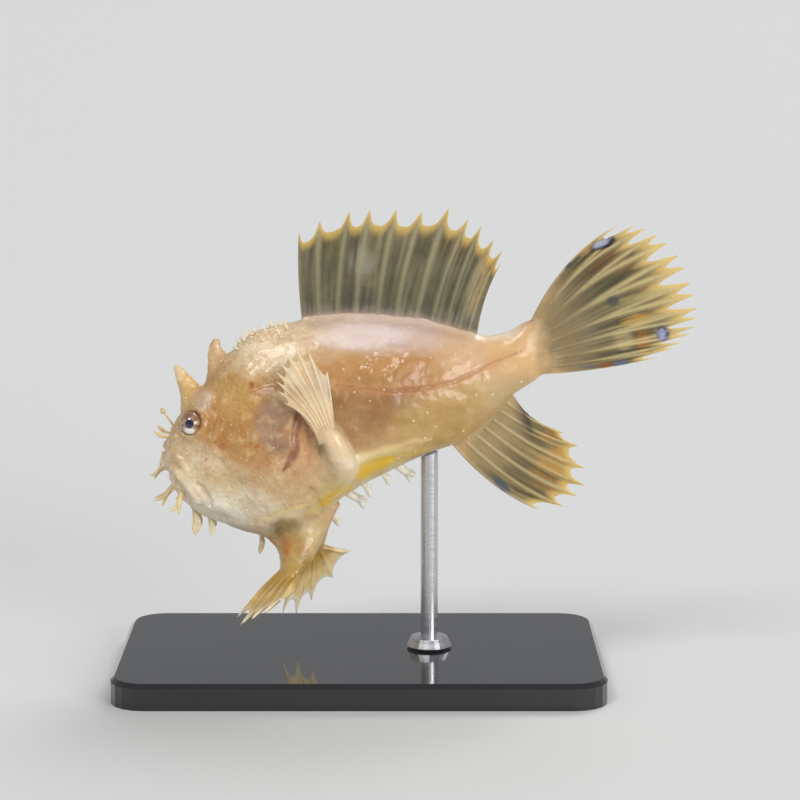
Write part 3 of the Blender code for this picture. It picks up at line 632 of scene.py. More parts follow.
# Seed, columns to a ray and rows
FIN_GRIDS = {"dorsal": (3, 14, 64), "caudal": (5, 20, 72), "anal": (7, 14, 64)}
OTHER_GRID = (11, 14, 44)
# How far up the rays the flesh climbs, its half thickness at the root, and the fin's swell there
FLESHY_ROOTS = {
    "dorsal": (0.16, 0.75, 0.2), "caudal": (0.25, 1.25, 0.36), "anal": (0.22, 0.9, 0.25),
    "pectoral": (0.34, 0.62, 0.28), "pelvic": (0.4, 0.95, 0.3),
}


def kind_of(key):
    """The kind of fin, without its side."""
    return key.split("_")[0]


fin_shape = fin_shapes()
fins = {}
for key, shape in fin_shape.items():
    shape["flesh"], shape["flesh_half"], shape["swell"] = FLESHY_ROOTS[kind_of(key)]
    # A fin of the midline is named like tail_fin, and a paired one like pelvic_fin_left
    name = key.replace("caudal", "tail") + "_fin" if "_" not in key else key.replace("_", "_fin_")
    fins[key] = make_fin(name, shape, *FIN_GRIDS.get(key, OTHER_GRID))
print("fins:", sorted(fins))

# %% [markdown]
# ## One skin over all the flesh
#
# The real animal has no seams, so the body, limbs, free spines, lips and lids are laid over
# one another and later remeshed as one closed surface. The face comes first: two lips from
# corner to corner of the mouth, and a lid round each eye.

# %% Lips and lids
MOUTH_LINE = ((-22.1, 26.3), (-20.6, 25.4), (-19.2, 23.4), (-18.4, 21.6))
EYE_PLACE = (-18.95, 30.2)
EYE_RADIUS = 1.35
EYE_STANDS_OUT = 0.2
# Where a lip turns round the muzzle, and its thickness at the corners as a share of the middle's
LIP_TURN, LIP_TURN_BACK, LIP_CORNER = 1.3, 0.15, 0.45
LID_RADIUS, LID_THICKNESS, LID_FLATNESS, LID_LIFT = 1.62, 0.42, 0.92, 0.15


def eye_centre(side):
    place, normal = hull.beside(*EYE_PLACE, side)
    return place + normal * EYE_STANDS_OUT, normal


def lip(drop, out, radius, name):
    """A lip from one corner of the mouth round the muzzle to the other."""
    left = []
    for x, z in MOUTH_LINE[:0:-1]:
        place, normal = hull.beside(x, z + drop)
        left.append(place + normal * out)
    front, _ = hull.nearest((MOUTH_LINE[0][0] - 2, 0, MOUTH_LINE[0][1] + drop))
    left = [tuple(p) for p in left] + [(front[0] + LIP_TURN_BACK - out, -LIP_TURN, front[2])]
    path = left + [(front[0] - out, 0, front[2])] + [(x, -y, z) for x, y, z in reversed(left)]
    last = len(path) - 1
    swell = [math.sin(math.pi * i / last) ** 0.5 for i in range(last + 1)]
    radii = [radius * (LIP_CORNER + (1 - LIP_CORNER) * share) for share in swell]
    return limb(name, path, radii, radii, side=(0, 0, 1), sides=16, count=70)


def lid(side):
    """A ring of flesh that lies on the skin round the eye."""
    centre, normal = eye_centre(side)
    across = unit(np.cross(normal, (0, 0, 1)))
    up = np.cross(across, normal)
    path = []
    for angle in np.linspace(0, 2 * math.pi, 41):
        out = across * math.cos(angle) + up * math.sin(angle) * LID_FLATNESS
        on_skin, _ = hull.nearest(centre + out * LID_RADIUS)
        path.append(on_skin + normal * LID_LIFT)
    size = [LID_THICKNESS] * len(path)
    return limb("lid", path, size, size, side=tuple(normal), sides=12, count=90, end=False)


print("eye centre in mm:", eye_centre(-1)[0].round(1))

# %% [markdown]
# ## Spines, limbs and fleshy fin roots
#
# Behind the lure stand two thick spines under skin. Arms and legs overlap the body, with a
# fold of skin at each armpit and in front of each leg, and flesh climbs up the rays of every
# fin. All of it is laid together as one heap of closed pieces.

# %% The pieces of flesh
HORN_PATH = ((-18.7, 31.6), (-19.6, 33.6), (-20.5, 35.2), (-21.1, 36.3))
HORN_WIDTHS = (2.2, 1.3, 0.8, 0.42)
HORN_DEPTHS = (1.0, 0.75, 0.55, 0.35)
CREST_PATH = ((-15.6, 35.2), (-16.2, 36.9), (-16.6, 38.3), (-16.3, 39.3))
CREST_WIDTHS = (2.3, 1.35, 0.75, 0.4)
CREST_DEPTHS = (1.0, 0.7, 0.5, 0.33)
LURE_PATH = ((-21.0, 28.6), (-21.9, 29.9), (-22.7, 31.0))
ARMPIT_PATH = ((-0.4, -5.0, 27.0), (-2.7, -5.6, 25.0), (-5.2, -4.2, 22.8), (-7.4, -3.0, 20.8))
LEFT_WEB_PATH = ((-10.8, -1.4, 17.7), (-8.9, -2.8, 15.6), (-8.5, -3.8, 14.0), (-9.0, -4.3, 12.6))
RIGHT_WEB_PATH = ((-10.6, 1.4, 17.7), (-8.2, 2.8, 15.8), (-7.3, 3.7, 14.4), (-7.6, 3.9, 13.2))
ARMPIT_WIDTHS = (1.6, 2.2, 2.2, 1.6)
ARMPIT_DEPTHS = (1.2, 1.5, 1.5, 1.2)
WEB_WIDTHS = (1.0, 0.85, 0.8, 0.5)
WEB_DEPTHS = (1.0, 0.8, 0.8, 0.6)
NOSTRIL_PLACE, NOSTRIL_RADIUS = (-21.0, 28.6), 0.34
CHIN_PLACE, CHIN_RADIUS, CHIN_STRETCH = (-22.35, 0, 25.0), 0.95, (0.9, 1.6, 1.0)
# Height over or under the mouth line, how far it stands out, and radius
UPPER_LIP = (0.7, 0.0, 0.5)
LOWER_LIP = (-0.75, 0.15, 0.62)
# Half thickness where the flesh ends, how fast it thins out, and its ridges' breadth and height
FLESH_EDGE, FLESH_THINNING, FLESH_RIDGE, FLESH_RIDGE_HEIGHT = 0.06, 1.3, 0.16, 0.1


def fleshy_root(shape):
    """Flesh that climbs the rays from the root and thins out: it melts into the skin later."""
    upto = shape["flesh"]
    last = len(shape["roots"]) - 1
    column = np.linspace(0, last, last * 8 + 1)
    share = np.repeat(np.linspace(0, upto, 12)[None, :], len(column), 0)
    ridge = np.exp(-(((column - np.rint(column)) / FLESH_RIDGE) ** 2))[:, None]
    fade = (1 - share / upto) ** FLESH_THINNING
    thickness = FLESH_EDGE + shape["flesh_half"] * fade + FLESH_RIDGE_HEIGHT * ridge * (1 - fade)
    return sheet("root", ray_points(shape, column, share), thickness)


def flesh():
    things = [body]
    for turn, leg_path, web_path in (
        (list, LEFT_LEG_PATH, LEFT_WEB_PATH), (mirrored, RIGHT_LEG_PATH, RIGHT_WEB_PATH),
    ):
        things.append(limb("arm", turn(ARM_PATH), ARM_WIDTHS, ARM_DEPTHS))
        things.append(limb("armpit", turn(ARMPIT_PATH), ARMPIT_WIDTHS, ARMPIT_DEPTHS))
        things.append(limb("leg", leg_path, LEG_WIDTHS, LEG_DEPTHS))
        things.append(limb("leg_web", web_path, WEB_WIDTHS, WEB_DEPTHS))
    things.append(limb("second_spine", plane_points(HORN_PATH), HORN_WIDTHS, HORN_DEPTHS))
    things.append(limb("third_spine", plane_points(CREST_PATH), CREST_WIDTHS, CREST_DEPTHS))
    things.append(lip(*UPPER_LIP, "upper_lip"))
    things.append(lip(*LOWER_LIP, "lower_lip"))
    things.append(ball("chin", CHIN_PLACE, CHIN_RADIUS, CHIN_STRETCH))
    for side in (-1, 1):
        things.append(lid(side))
        nostril, _ = hull.beside(*NOSTRIL_PLACE, side)
        things.append(ball("nostril", nostril, NOSTRIL_RADIUS))
    return things + [fleshy_root(shape) for shape in fin_shape.values()]


skin = join(flesh(), "skin")
print("flesh of", len(skin.data.polygons), "faces")

# %% [markdown]
# ## Remesh and smooth
#
# A voxel remesh reads the overlapping pieces as one solid and lays a single even net of faces
# over it. Its small steps are relaxed away by moving every point towards the middle of its
# neighbours.

# %% Remesh and smooth
VOXEL = 0.2
SMOOTH_ROUNDS = 4


def settled(thing):
    """The plain mesh that an object's modifiers make of it."""
    evaluated = thing.evaluated_get(bpy.context.evaluated_depsgraph_get())
    return bpy.data.meshes.new_from_object(evaluated)


def remesh(thing, voxel):
    modifier = thing.modifiers.new("remesh", "REMESH")
    modifier.mode = "VOXEL"
    modifier.voxel_size = voxel * MM
    mesh = settled(thing)
    thing.modifiers.clear()
    thing.data = mesh
    mesh.shade_smooth()


def neighbours(thing):
    """The two ends of every edge, and how many edges meet at each point."""
    ends = np.zeros(len(thing.data.edges) * 2, int)
    thing.data.edges.foreach_get("vertices", ends)
    ends = ends.reshape(-1, 2)
    count = np.bincount(ends.ravel(), minlength=len(thing.data.vertices))
    return ends, count


def relax(places, ends, count, rounds):
    """Moves every point half way to the middle of its neighbours, again and again."""
    for _ in range(rounds):
        total = np.zeros_like(places)
        np.add.at(total, ends[:, 0], places[ends[:, 1]])
        np.add.at(total, ends[:, 1], places[ends[:, 0]])
        places = places + (total / count[:, None] - places) / 2
    return places


remesh(skin, VOXEL)
ends, count = neighbours(skin)
set_places(skin, relax(places_of(skin), ends, count, SMOOTH_ROUNDS))
print("skin of", len(skin.data.polygons), "faces")

# %% [markdown]
# ## Melting the joins
#
# Where a limb or a fin leaves the body the net is relaxed far more, so that the skin runs
# over the join in a soft curve. Each join is a ball in which the much relaxed skin takes over.

# %% Melt the joins
# Centre and radius
JOINS = (
    (-3.4, -5.4, 23.4, 4.2), (-3.4, 5.4, 23.4, 4.2), (-8.2, -2.4, 18.0, 4.2),
    (-7.6, 2.4, 18.0, 4.2), (-7.8, -4.6, 13.4, 2.0), (-6.0, 4.2, 13.8, 2.0),
    (-4.5, 0.0, 42.8, 2.0), (-1.5, 0.0, 43.0, 2.0), (1.5, 0.0, 43.0, 2.0), (4.5, 0.0, 42.8, 2.0),
    (7.5, 0.0, 42.4, 2.0), (10.5, 0.0, 42.0, 2.0), (-3.7, -8.5, 31.8, 1.6), (-3.7, 8.5, 31.8, 1.6),
    (21.0, 0.0, 38.6, 3.0), (20.8, 0.0, 41.4, 1.6), (14.0, 0.0, 30.2, 3.4), (13.2, 0.0, 40.2, 1.6),
)
MELT_ROUNDS = 60
CORE = 0.6
firm = places_of(skin)
soft = relax(firm, ends, count, MELT_ROUNDS)
melt = np.zeros(len(firm))
for x, y, z, size in JOINS:
    melt = np.maximum(melt, near(np.linalg.norm(firm - (x, y, z), axis=1), size, size * CORE))
set_places(skin, firm + (soft - firm) * melt[:, None])
print("melted", int((melt > 0).sum()), "points")

# %% [markdown]
# ## Folds and creases
#
# What a loft can't give is pushed in along the skin's own normals: the gill crease, the folds
# where the arm leaves the flank and the swell of the cheek. Each is a bent line or an ellipse
# seen from the side, which any number of points can be measured against at once.

# %% Distances seen from the side
TAPER_RATE, LEAST_TAPER, TAPER_POWER = 5, 0.12, 0.6
ARM_REACH, ARM_EDGE = 1.7, 0.6


def off_path(points, path):
    """For each straight part of a path: how far along it every point is, and how far off it."""
    path = np.array(path, float)
    for a, b in zip(path[:-1], path[1:]):
        t = np.clip(((points - a) @ (b - a)) / ((b - a) @ (b - a)), 0, 1)
        yield t, np.linalg.norm(points - a - t[:, None] * (b - a), axis=1)


def line_distance(points, path, half):
    """How far each point is from a bent line, seen from the side, in units of its half width.
    The line tapers towards both ends."""
    lengths = np.linalg.norm(np.diff(np.array(path, float), axis=0), axis=1)
    before = np.concatenate([[0], np.cumsum(lengths)])
    nearest = np.full(len(points), np.inf)
    for (t, off), start, length in zip(off_path(points[:, (0, 2)], path), before, lengths):
        progress = (start + t * length) / before[-1]
        to_end = np.minimum(progress, 1 - progress)
        taper = np.clip(to_end * TAPER_RATE, LEAST_TAPER, 1) ** TAPER_POWER
        nearest = np.minimum(nearest, off / (half * taper))
    return nearest


def arm_mask(points):
    """1 on the arms, 0 elsewhere."""
    paths = (ARM_PATH[1:], mirrored(ARM_PATH[1:]))
    nearest = np.min([off for path in paths for _, off in off_path(points, path)], axis=0)
    return near(nearest, ARM_EDGE, ARM_REACH)


def blob_distance(points, x, z, rx, rz, turn=0.0):
    """How far outside an ellipse each point is, seen from the side, in units of its radii."""
    dx, dz = points[:, 0] - x, points[:, 2] - z
    c, s = math.cos(math.radians(turn)), math.sin(math.radians(turn))
    return np.hypot((dx * c + dz * s) / rx, (-dx * s + dz * c) / rz)


on_rim = np.array([[2.0, 0.0, 0.0]])
print("on its rim an ellipse measures", blob_distance(on_rim, 0, 0, 2.0, 1.0)[0])

# %% Creases, swellings and bumps
GILL_LINE = ((-6.8, 32.8), (-6.9, 31.2), (-7.2, 29.6), (-7.2, 28.0), (-7.8, 26.5), (-8.6, 25.4))
SIDE_LINE = (
    (-3.6, 35.2), (0.1, 34.7), (4.0, 34.3), (7.4, 34.5), (10.8, 35.1), (15.4, 37.2), (18.6, 38.4),
)
BELLY_FOLD = ((-1.8, 26.0), (0.5, 26.6), (3.5, 27.3), (8.0, 28.5))
GILL_ROOF = ((-11.6, 34.2), (-9.8, 34.4), (-8.0, 33.6), (-6.9, 32.2))
# Bent lines pressed in or raised: path, half width, depth (out is above 0)
CREASES = (
    (GILL_LINE, 0.45, -0.36),
    (GILL_ROOF, 0.55, 0.3),
    (SIDE_LINE, 0.2, -0.1),
    (BELLY_FOLD, 0.7, 0.14),
    (((-18.6, 23.6), (-17.4, 22.0), (-16.8, 20.4)), 0.4, -0.25),  # behind the corner of the mouth
    (((-9.8, 17.4), (-8.8, 19.4), (-8.6, 21.4)), 0.5, -0.16),  # in front of the leg
    (((-4.4, 19.6), (-4.9, 21.6), (-5.6, 23.4)), 0.5, -0.2),  # behind the leg
    (((-19.5, 27.9), (-17.6, 26.6), (-15.4, 26.3)), 0.6, -0.14),  # under the eye
    (((-5.6, 31.4), (-5.4, 28.8), (-5.9, 26.4)), 0.4, -0.16),  # between gill cover and arm
)
# Swellings: x, z, radii, turn, height
SWELLINGS = (
    (-13.2, 26.6, 3.6, 4.2, -20, 0.35),  # cheek
    (-10.0, 30.6, 3.0, 2.4, 10, -0.3),  # hollow of the gill chamber
    (-13.0, 35.2, 3.0, 2.2, 45, 0.25),  # side of the crown
    (-17.2, 33.0, 1.6, 1.0, 40, 0.22),  # brow
    (-5.0, 26.8, 1.4, 2.2, 0, 0.3),  # shoulder by the arm
    (3.5, 28.5, 5.0, 2.6, 15, 0.2),  # belly
    (-16.0, 20.6, 2.6, 1.5, -20, 0.2),  # throat pouch
)
# Round bumps on the flank, seen with glints: x, z, radius
FLANK_BUMPS = (
    (2.1, 36.7, 1.35), (0.7, 36.5, 0.8), (3.7, 38.4, 0.9), (5.1, 38.6, 0.6), (3.5, 37.5, 0.9),
    (2.4, 38.2, 0.7), (4.6, 37.8, 0.5), (1.2, 37.8, 0.5), (3.0, 35.8, 0.6), (-0.2, 35.9, 0.35),
)
print(len(CREASES), "creases,", len(SWELLINGS), "swellings and", len(FLANK_BUMPS), "bumps")

# %% [markdown]
# ## Pushing the skin
#
# Each form adds to one push per point, and so do three sizes of noise: slow swells over the
# body, and wrinkles that are strongest on the head. Round the eyes the push fades, so that
# the lids stay even, and the sockets are cleared to fit the eyeballs.

# %% Sculpting
BUMP_HEIGHT, BUMP_ROUNDNESS = 0.26, 0.6
SWELL_HEIGHT, SWELL_BREADTH = 0.10, 3.2
# Height, breadth, seed and octaves of the noise
WRINKLES = ((0.055, 0.9, 2, 3), (0.03, 0.45, 3, 2))
# Breadth of a soft edge and how far in it starts
SWELLING_EDGE, CREASE_EDGE, EYE_CLEARING = (0.6, 0.2), (1.2, 0.25), (1.0, 1.6)
# Start and length of a change: beside the midline, above the legs, and forwards to the head
BESIDE_MIDLINE, ABOVE_LEGS, TO_HEAD = (0, 1.5), (15.5, 2.0), (-2.0, 6.0)
LEAST_ROUGH = 0.25
SOCKET_GAP = 0.03


def sculpt(thing):
    places, normals = places_of(thing), normals_of(thing)
    flank = above(np.abs(places[:, 1]), *BESIDE_MIDLINE)
    on_body = above(places[:, 2], *ABOVE_LEGS)
    push = np.zeros(len(places))
    off_arm = 1 - arm_mask(places)
    for x, z, rx, rz, turn, height in SWELLINGS:
        push += height * near(blob_distance(places, x, z, rx, rz, turn), *SWELLING_EDGE) * flank
    for path, half, depth in CREASES:
        push += depth * near(line_distance(places, path, half), *CREASE_EDGE) * flank * off_arm
    for x, z, radius in FLANK_BUMPS:
        dome = below(blob_distance(places, x, z, radius, radius) ** 2, 1, 1) ** BUMP_ROUNDNESS
        push += BUMP_HEIGHT * radius * dome * flank
    push += SWELL_HEIGHT * wavy(places, SWELL_BREADTH, seed=1) * on_body
    rough = np.maximum(below(places[:, 0], *TO_HEAD), LEAST_ROUGH)
    for height, breadth, seed, octaves in WRINKLES:
        push += height * wavy(places, breadth, seed, octaves) * rough
    eye_clear = np.ones(len(places))
    for side in (-1, 1):
        centre, _ = eye_centre(side)
        eye_clear *= 1 - near(np.linalg.norm(places - centre, axis=1), *EYE_CLEARING)
    return places + normals * (push * eye_clear)[:, None]


def clear_sockets(places):
    """Moves points that lie inside an eyeball out to just over it."""
    for side in (-1, 1):
        centre, _ = eye_centre(side)
        away = places - centre
        inside = np.linalg.norm(away, axis=1) < EYE_RADIUS + SOCKET_GAP
        places[inside] = centre + unit(away[inside]) * (EYE_RADIUS + SOCKET_GAP)
    return places


set_places(skin, sculpt(skin))
set_places(skin, clear_sockets(places_of(skin)))
print("sculpted", len(skin.data.vertices), "points")

# %% [markdown]
# ## Painting in zones
#
# The colour runs over the body in soft zones. Each zone is an ellipse or a bent line seen
# from the side, with its edge broken by noise, and it is laid over the colours before it, as
# with a soft brush. The fine speckle is left to the material.

# %% Paint
def colour(red, green, blue):
    """A colour as a screen shows it, 0 to 255, turned to linear light."""
    values = np.array((red, green, blue)) / 255
    return np.where(values <= 0.04045, values / 12.92, ((values + 0.055) / 1.055) ** 2.4)


def blend(under, over, amount):
    return under + (over - under) * np.clip(amount, 0, 1)[:, None]


RUST = (172, 92, 26)
# How far in a shape's soft edge starts, and how much noise breaks it
ZONE_EDGE, LINE_EDGE, SPOT_EDGE = (0.6, 0.22), (0.3, 0.12), (0.3, 0.5)
LINE_SOFTNESS, SPOT_SOFTNESS, SPOT_STRENGTH = 1.2, 0.8, 0.85
RAGGED = 1.6


def paint(points, ground, zones=(), lines=(), spots=()):
    """Colours for points, from a ground, then soft ellipses, bent lines and small spots over it."""
    ragged = wavy(points, RAGGED, seed=4)
    tint = np.zeros((len(points), 3)) + ground

    def lay(shade, distance, edge, soft, strength):
        inner, broken = edge
        mask = strength * near(distance - inner + broken * ragged, soft)
        return blend(tint, colour(*shade), mask)

    for x, z, rx, rz, turn, soft, strength, shade in zones:
        tint = lay(shade, blob_distance(points, x, z, rx, rz, turn), ZONE_EDGE, soft, strength)
    for path, half, strength, shade in lines:
        tint = lay(shade, line_distance(points, path, half), LINE_EDGE, LINE_SOFTNESS, strength)
    for x, z, radius in spots:
        spot = blob_distance(points, x, z, radius, radius)
        tint = lay(RUST, spot, SPOT_EDGE, SPOT_SOFTNESS, SPOT_STRENGTH)
    return tint


print("a mid grey on the screen is", colour(128, 128, 128).round(3), "in linear light")

# %% [markdown]
# ## The skin's colours
#
# Golden tan on the head, cream on the jaw and throat, orange brown on the flank, a pale lilac
# saddle under the dorsal fin and yellow along the belly. A red line runs along the side, and
# a few rusty spots are scattered over the head and the leg.

# %% Colour zones of the skin
SKIN_GROUND = colour(210, 176, 130)
# x, z, radii, turn, softness, strength, colour
SKIN_ZONES = (
    (3.0, 35.9, 10.5, 2.6, 2, 1.0, 0.9, (184, 126, 60)),  # orange flank
    (1.0, 31.6, 9.0, 3.0, 6, 1.3, 0.9, (142, 94, 22)),  # brown under the side line
    (10.0, 31.2, 5.0, 3.0, 25, 1.3, 0.6, (190, 156, 76)),
    (3.0, 41.0, 12.5, 2.5, -2, 0.7, 0.95, (214, 190, 182)),  # lilac saddle
    (0.0, 40.4, 5.0, 1.4, 0, 0.8, 0.8, (242, 228, 222)),
    (12.5, 38.4, 4.0, 2.4, -10, 0.9, 0.7, (220, 182, 144)),
    (18.0, 38.0, 3.6, 3.8, 20, 0.7, 0.75, (224, 182, 126)),  # tail stalk
    (15.6, 40.6, 2.8, 1.1, 5, 0.8, 0.9, (244, 230, 206)),
    (16.8, 33.6, 2.6, 2.0, 40, 0.9, 0.7, (194, 172, 126)),
    (-14.6, 31.6, 5.0, 3.4, 50, 1.0, 0.9, (196, 148, 72)),  # golden cheek
    (-13.6, 28.6, 3.4, 2.4, -30, 1.0, 0.85, (180, 130, 62)),
    (-13.6, 36.8, 4.6, 2.6, 45, 1.0, 0.85, (202, 160, 88)),  # crown
    (-10.2, 39.6, 4.6, 3.0, 20, 0.9, 0.95, (248, 232, 200)),  # pale nape
    (-9.8, 30.6, 2.7, 3.4, 12, 0.5, 0.9, (164, 134, 112)),  # window of the gill chamber
    (-8.9, 29.0, 1.2, 2.0, 10, 0.6, 0.55, (138, 108, 96)),
    (-6.0, 29.2, 0.9, 3.4, 0, 0.8, 0.7, (214, 154, 108)),
    (-17.8, 22.6, 5.4, 3.6, -42, 1.1, 0.95, (236, 226, 196)),  # jaw and chin
    (-11.6, 22.9, 6.4, 2.2, -8, 1.1, 0.7, (214, 194, 150)),
    (-12.5, 20.2, 6.7, 2.8, -18, 0.8, 0.92, (238, 228, 200)),  # throat
    (-16.4, 20.2, 3.6, 1.8, -34, 0.9, 0.95, (252, 248, 232)),
    (-20.9, 28.4, 2.2, 2.6, 0, 1.0, 0.75, (216, 192, 152)),  # snout
    (-19.3, 34.4, 1.5, 2.4, 20, 0.9, 0.9, (222, 192, 118)),  # second spine
    (-17.9, 32.9, 1.2, 0.9, 30, 1.0, 0.8, (240, 224, 204)),  # painted highlight on the brow
    (-20.9, 36.0, 0.9, 1.3, 0, 0.9, 0.9, (246, 232, 196)),
    (-16.1, 37.9, 1.4, 2.0, 0, 0.9, 0.85, (220, 196, 158)),  # third spine
    (-7.2, 12.5, 3.8, 4.6, 0, 0.9, 0.92, (184, 148, 46)),  # legs
    (-7.6, 16.0, 2.6, 1.8, -60, 1.0, 0.7, (150, 120, 28)),  # olive shank
    (-8.4, 16.2, 0.8, 1.0, 0, 0.9, 0.85, (186, 116, 18)),  # stain on the leg
    (-8.4, 18.6, 1.6, 0.9, 0, 1.0, 0.8, (104, 96, 58)),
    (-5.0, 16.6, 0.9, 2.6, 0, 0.9, 0.7, (208, 190, 140)),
    (25.2, 40.4, 4.4, 5.4, 20, 1.0, 0.9, (104, 98, 70)),  # flesh on the tail rays
    (15.8, 27.8, 4.4, 2.2, 50, 0.9, 0.8, (158, 144, 104)),  # flesh on the anal rays
)
print(len(SKIN_ZONES), "zones on the skin")

# %% Lines and spots of the skin
# path, half width, strength, colour
SKIN_LINES = (
    # Painted shade in the pressed-in gill crease, in a reddish brown
    (GILL_LINE, 0.5, 0.8, (150, 88, 72)),
    # Painted highlight: a pale wet glint along the raised roof of the gill cover
    (GILL_ROOF, 0.45, 0.5, (244, 226, 204)),
    (SIDE_LINE, 0.8, 0.35, (194, 118, 66)),
    (SIDE_LINE, 0.13, 0.5, (142, 72, 42)),
    # Under the dorsal fin
    (((-6.6, 42.9), (0.0, 43.2), (7.0, 42.9), (13.6, 41.6)), 0.6, 0.8, (176, 162, 154)),
    (BELLY_FOLD, 0.75, 0.5, (240, 214, 156)),
    (BELLY_FOLD[:3], 0.4, 0.6, (248, 238, 214)),
    # Cream belly, and yellow on it
    (((-5.4, 20.2), (-2.3, 22.5), (1.4, 25.3), (6.0, 27.2)), 2.0, 0.75, (240, 222, 150)),
    (((-0.4, 24.2), (1.4, 25.4), (4.0, 26.5)), 0.9, 1.0, (252, 208, 40)),
    (((-4.4, 20.9), (-2.5, 22.2), (-0.9, 23.4)), 0.8, 1.0, (252, 208, 36)),
    (((4.2, 26.2), (8.6, 27.5)), 0.5, 0.7, (228, 190, 92)),
    # Pale line over the leg
    (((-12.4, 18.6), (-8.8, 20.6), (-5.4, 21.4)), 0.3, 0.6, (240, 222, 150)),
)
# Small rusty spots on the head: x, z, radius
SKIN_SPOTS = (
    (-15.5, 27.9, 0.42), (-14.7, 28.3, 0.22), (-16.3, 28.5, 0.2), (-12.1, 35.0, 0.5),
    (-11.5, 28.2, 0.32), (-12.8, 28.1, 0.24), (-12.2, 28.4, 0.16), (-13.9, 34.2, 0.2),
    (-15.8, 32.6, 0.18), (-10.9, 35.8, 0.22), (-9.2, 36.0, 0.16), (-17.4, 26.4, 0.16),
    (-8.5, 15.6, 0.3), (-8.9, 16.6, 0.35), (-8.1, 16.2, 0.2), (-19.9, 33.8, 0.2),
    (-16.9, 38.9, 0.16),
)
print(len(SKIN_LINES), "lines and", len(SKIN_SPOTS), "spots")

# %% [markdown]
# ## Laying the colours on the skin
#
# The arms are paler than the flank behind them, so they are painted apart and laid over by
# nearness to the arm's path. The underside is pale, a brown ring of painted shade darkens the
# lids round the eye sockets, and two masks tell the material where the skin is smooth as jelly and
# where it is dull.

# %% Paint the skin
ARM_GROUND = colour(240, 216, 178)
ARM_ZONES = (
    (-4.4, 28.4, 1.0, 2.2, 12, 0.9, 0.6, (196, 180, 142)),
    (-1.2, 25.4, 1.6, 1.6, 0, 0.9, 0.8, (252, 240, 220)),
)
UNDERSIDE = colour(230, 212, 178)
# Painted shade: the brown of the eye sockets, laid round each eye
LID_SHADE = colour(132, 84, 62)
# Start and length of each change: behind the head, above the belly, down to the throat, to the tail
JELLY_BEHIND, JELLY_ABOVE, THROAT_BELOW, MATT_BEHIND = (-7.5, 4), (19, 4), (24.5, 4), (18.5, 2.5)
ARM_ABOVE, UNDERSIDE_BELOW = (23.6, 3.5), (30, 8)
# Breadth of the soft edge and where it starts
UNDERSIDE_EDGE, LID_EDGE = (2.5, 0), (0.5, 1.45)
THROAT_SMOOTHNESS, UNDERSIDE_STRENGTH, ARM_STRENGTH, ARM_MOTTLING = 0.75, 0.35, 0.9, 0.05


def skin_colours(points):
    """The skin's colours, with those of the arms laid over them."""
    tint = paint(points, SKIN_GROUND, SKIN_ZONES, SKIN_LINES, SKIN_SPOTS)
    mottle = wavy(points, 1.2, seed=14)[:, None]
    arm_tint = paint(points, ARM_GROUND, ARM_ZONES) + ARM_MOTTLING * mottle
    return blend(tint, arm_tint, ARM_STRENGTH * arm_mask(points) * above(points[:, 2], *ARM_ABOVE))


skin_places = places_of(skin)
x, y, z = skin_places.T
skin_tint = skin_colours(skin_places)
under = near(np.abs(y), *UNDERSIDE_EDGE) * below(z, *UNDERSIDE_BELOW)
skin_tint = blend(skin_tint, UNDERSIDE, UNDERSIDE_STRENGTH * under)
for side in (-1, 1):
    centre, _ = eye_centre(side)
    ring = near(np.linalg.norm(skin_places - centre, axis=1), *LID_EDGE)
    # The ring is painted shade of the eye socket, darkest over the eye
    skin_tint = blend(skin_tint, LID_SHADE, ring * np.clip(0.75 + 0.5 * (z - centre[2]), 0.2, 0.9))
set_tint(skin, skin_tint)
jelly = above(x, *JELLY_BEHIND) * above(z, *JELLY_ABOVE)
throat = THROAT_SMOOTHNESS * below(z, *THROAT_BELOW)
set_mask(skin, "smooth", np.maximum(jelly, throat))
set_mask(skin, "matt", above(x, *MATT_BEHIND))
print("painted", len(skin_tint), "points")

# %% [markdown]
# ## Nodes from a script
#
# A material is a tree of nodes. Written out one line per setting and link it gets long, so
# one helper adds a node, sets what it is told and links the sockets it is given. It serves
# materials, node groups and Geometry Nodes alike.

# %% Helpers for nodes
def feed(tree, node, key, value):
    """Links a socket to a node's input, or sets the input to a plain value."""
    if isinstance(value, bpy.types.NodeSocket):
        tree.links.new(value, node.inputs[key])
    else:
        node.inputs[key].default_value = value


def add(tree, kind, feeds=None, **settings):
    """A new node's outputs, after its settings are made and its inputs fed."""
    node = tree.nodes.new(kind)
    for key, value in settings.items():
        setattr(node, key, value)
    for key, value in (feeds or {}).items():
        feed(tree, node, key, value)
    return node.outputs


def add_sockets(tree, way, sockets):
    """Named inputs or outputs of a group: name, kind and, for some inputs, the first value."""
    for name, kind, *value in sockets:
        socket = tree.interface.new_socket(name, in_out=way, socket_type="NodeSocket" + kind)
        if value:
            socket.default_value = value[0]


def new_material(name, **settings):
    """A material, its tree and its shader, with values set on the shader's own sockets."""
    made = bpy.data.materials.new(name)
    made.use_nodes = True
    shader = made.node_tree.nodes["Principled BSDF"]
    for key, value in settings.items():
        shader.inputs[key.replace("_", " ")].default_value = value
    return made, made.node_tree, shader


print("node helpers ready")

# %% [markdown]
# ## Small patterns
#
# Most patterns on an animal are noise, stretched to the range that is wanted and used to mix
# two colours. They read Object coordinates, so they stick to the piece and keep their size in
# metres.

# %% Noise, ramps and mixes
MIX_FACTOR, MIX_FIRST, MIX_SECOND, MIXED = 0, 6, 7, 2


def mix_colour(tree, factor, first, second, mode="MIX"):
    """A Mix node on colours. Each colour is a socket or a plain value."""
    feeds = {MIX_FACTOR: factor}
    for key, value in ((MIX_FIRST, first), (MIX_SECOND, second)):
        feeds[key] = value if isinstance(value, bpy.types.NodeSocket) else (*value, 1.0)
    return add(tree, "ShaderNodeMix", feeds, data_type="RGBA", blend_type=mode)[MIXED]


def ramp(tree, value, low, high, out_low=0.0, out_high=1.0):
    """Stretches a value's range from low and high to two new ends."""
    ends = {"From Min": low, "From Max": high, "To Min": out_low, "To Max": out_high}
    return add(tree, "ShaderNodeMapRange", {"Value": value, **ends})["Result"]


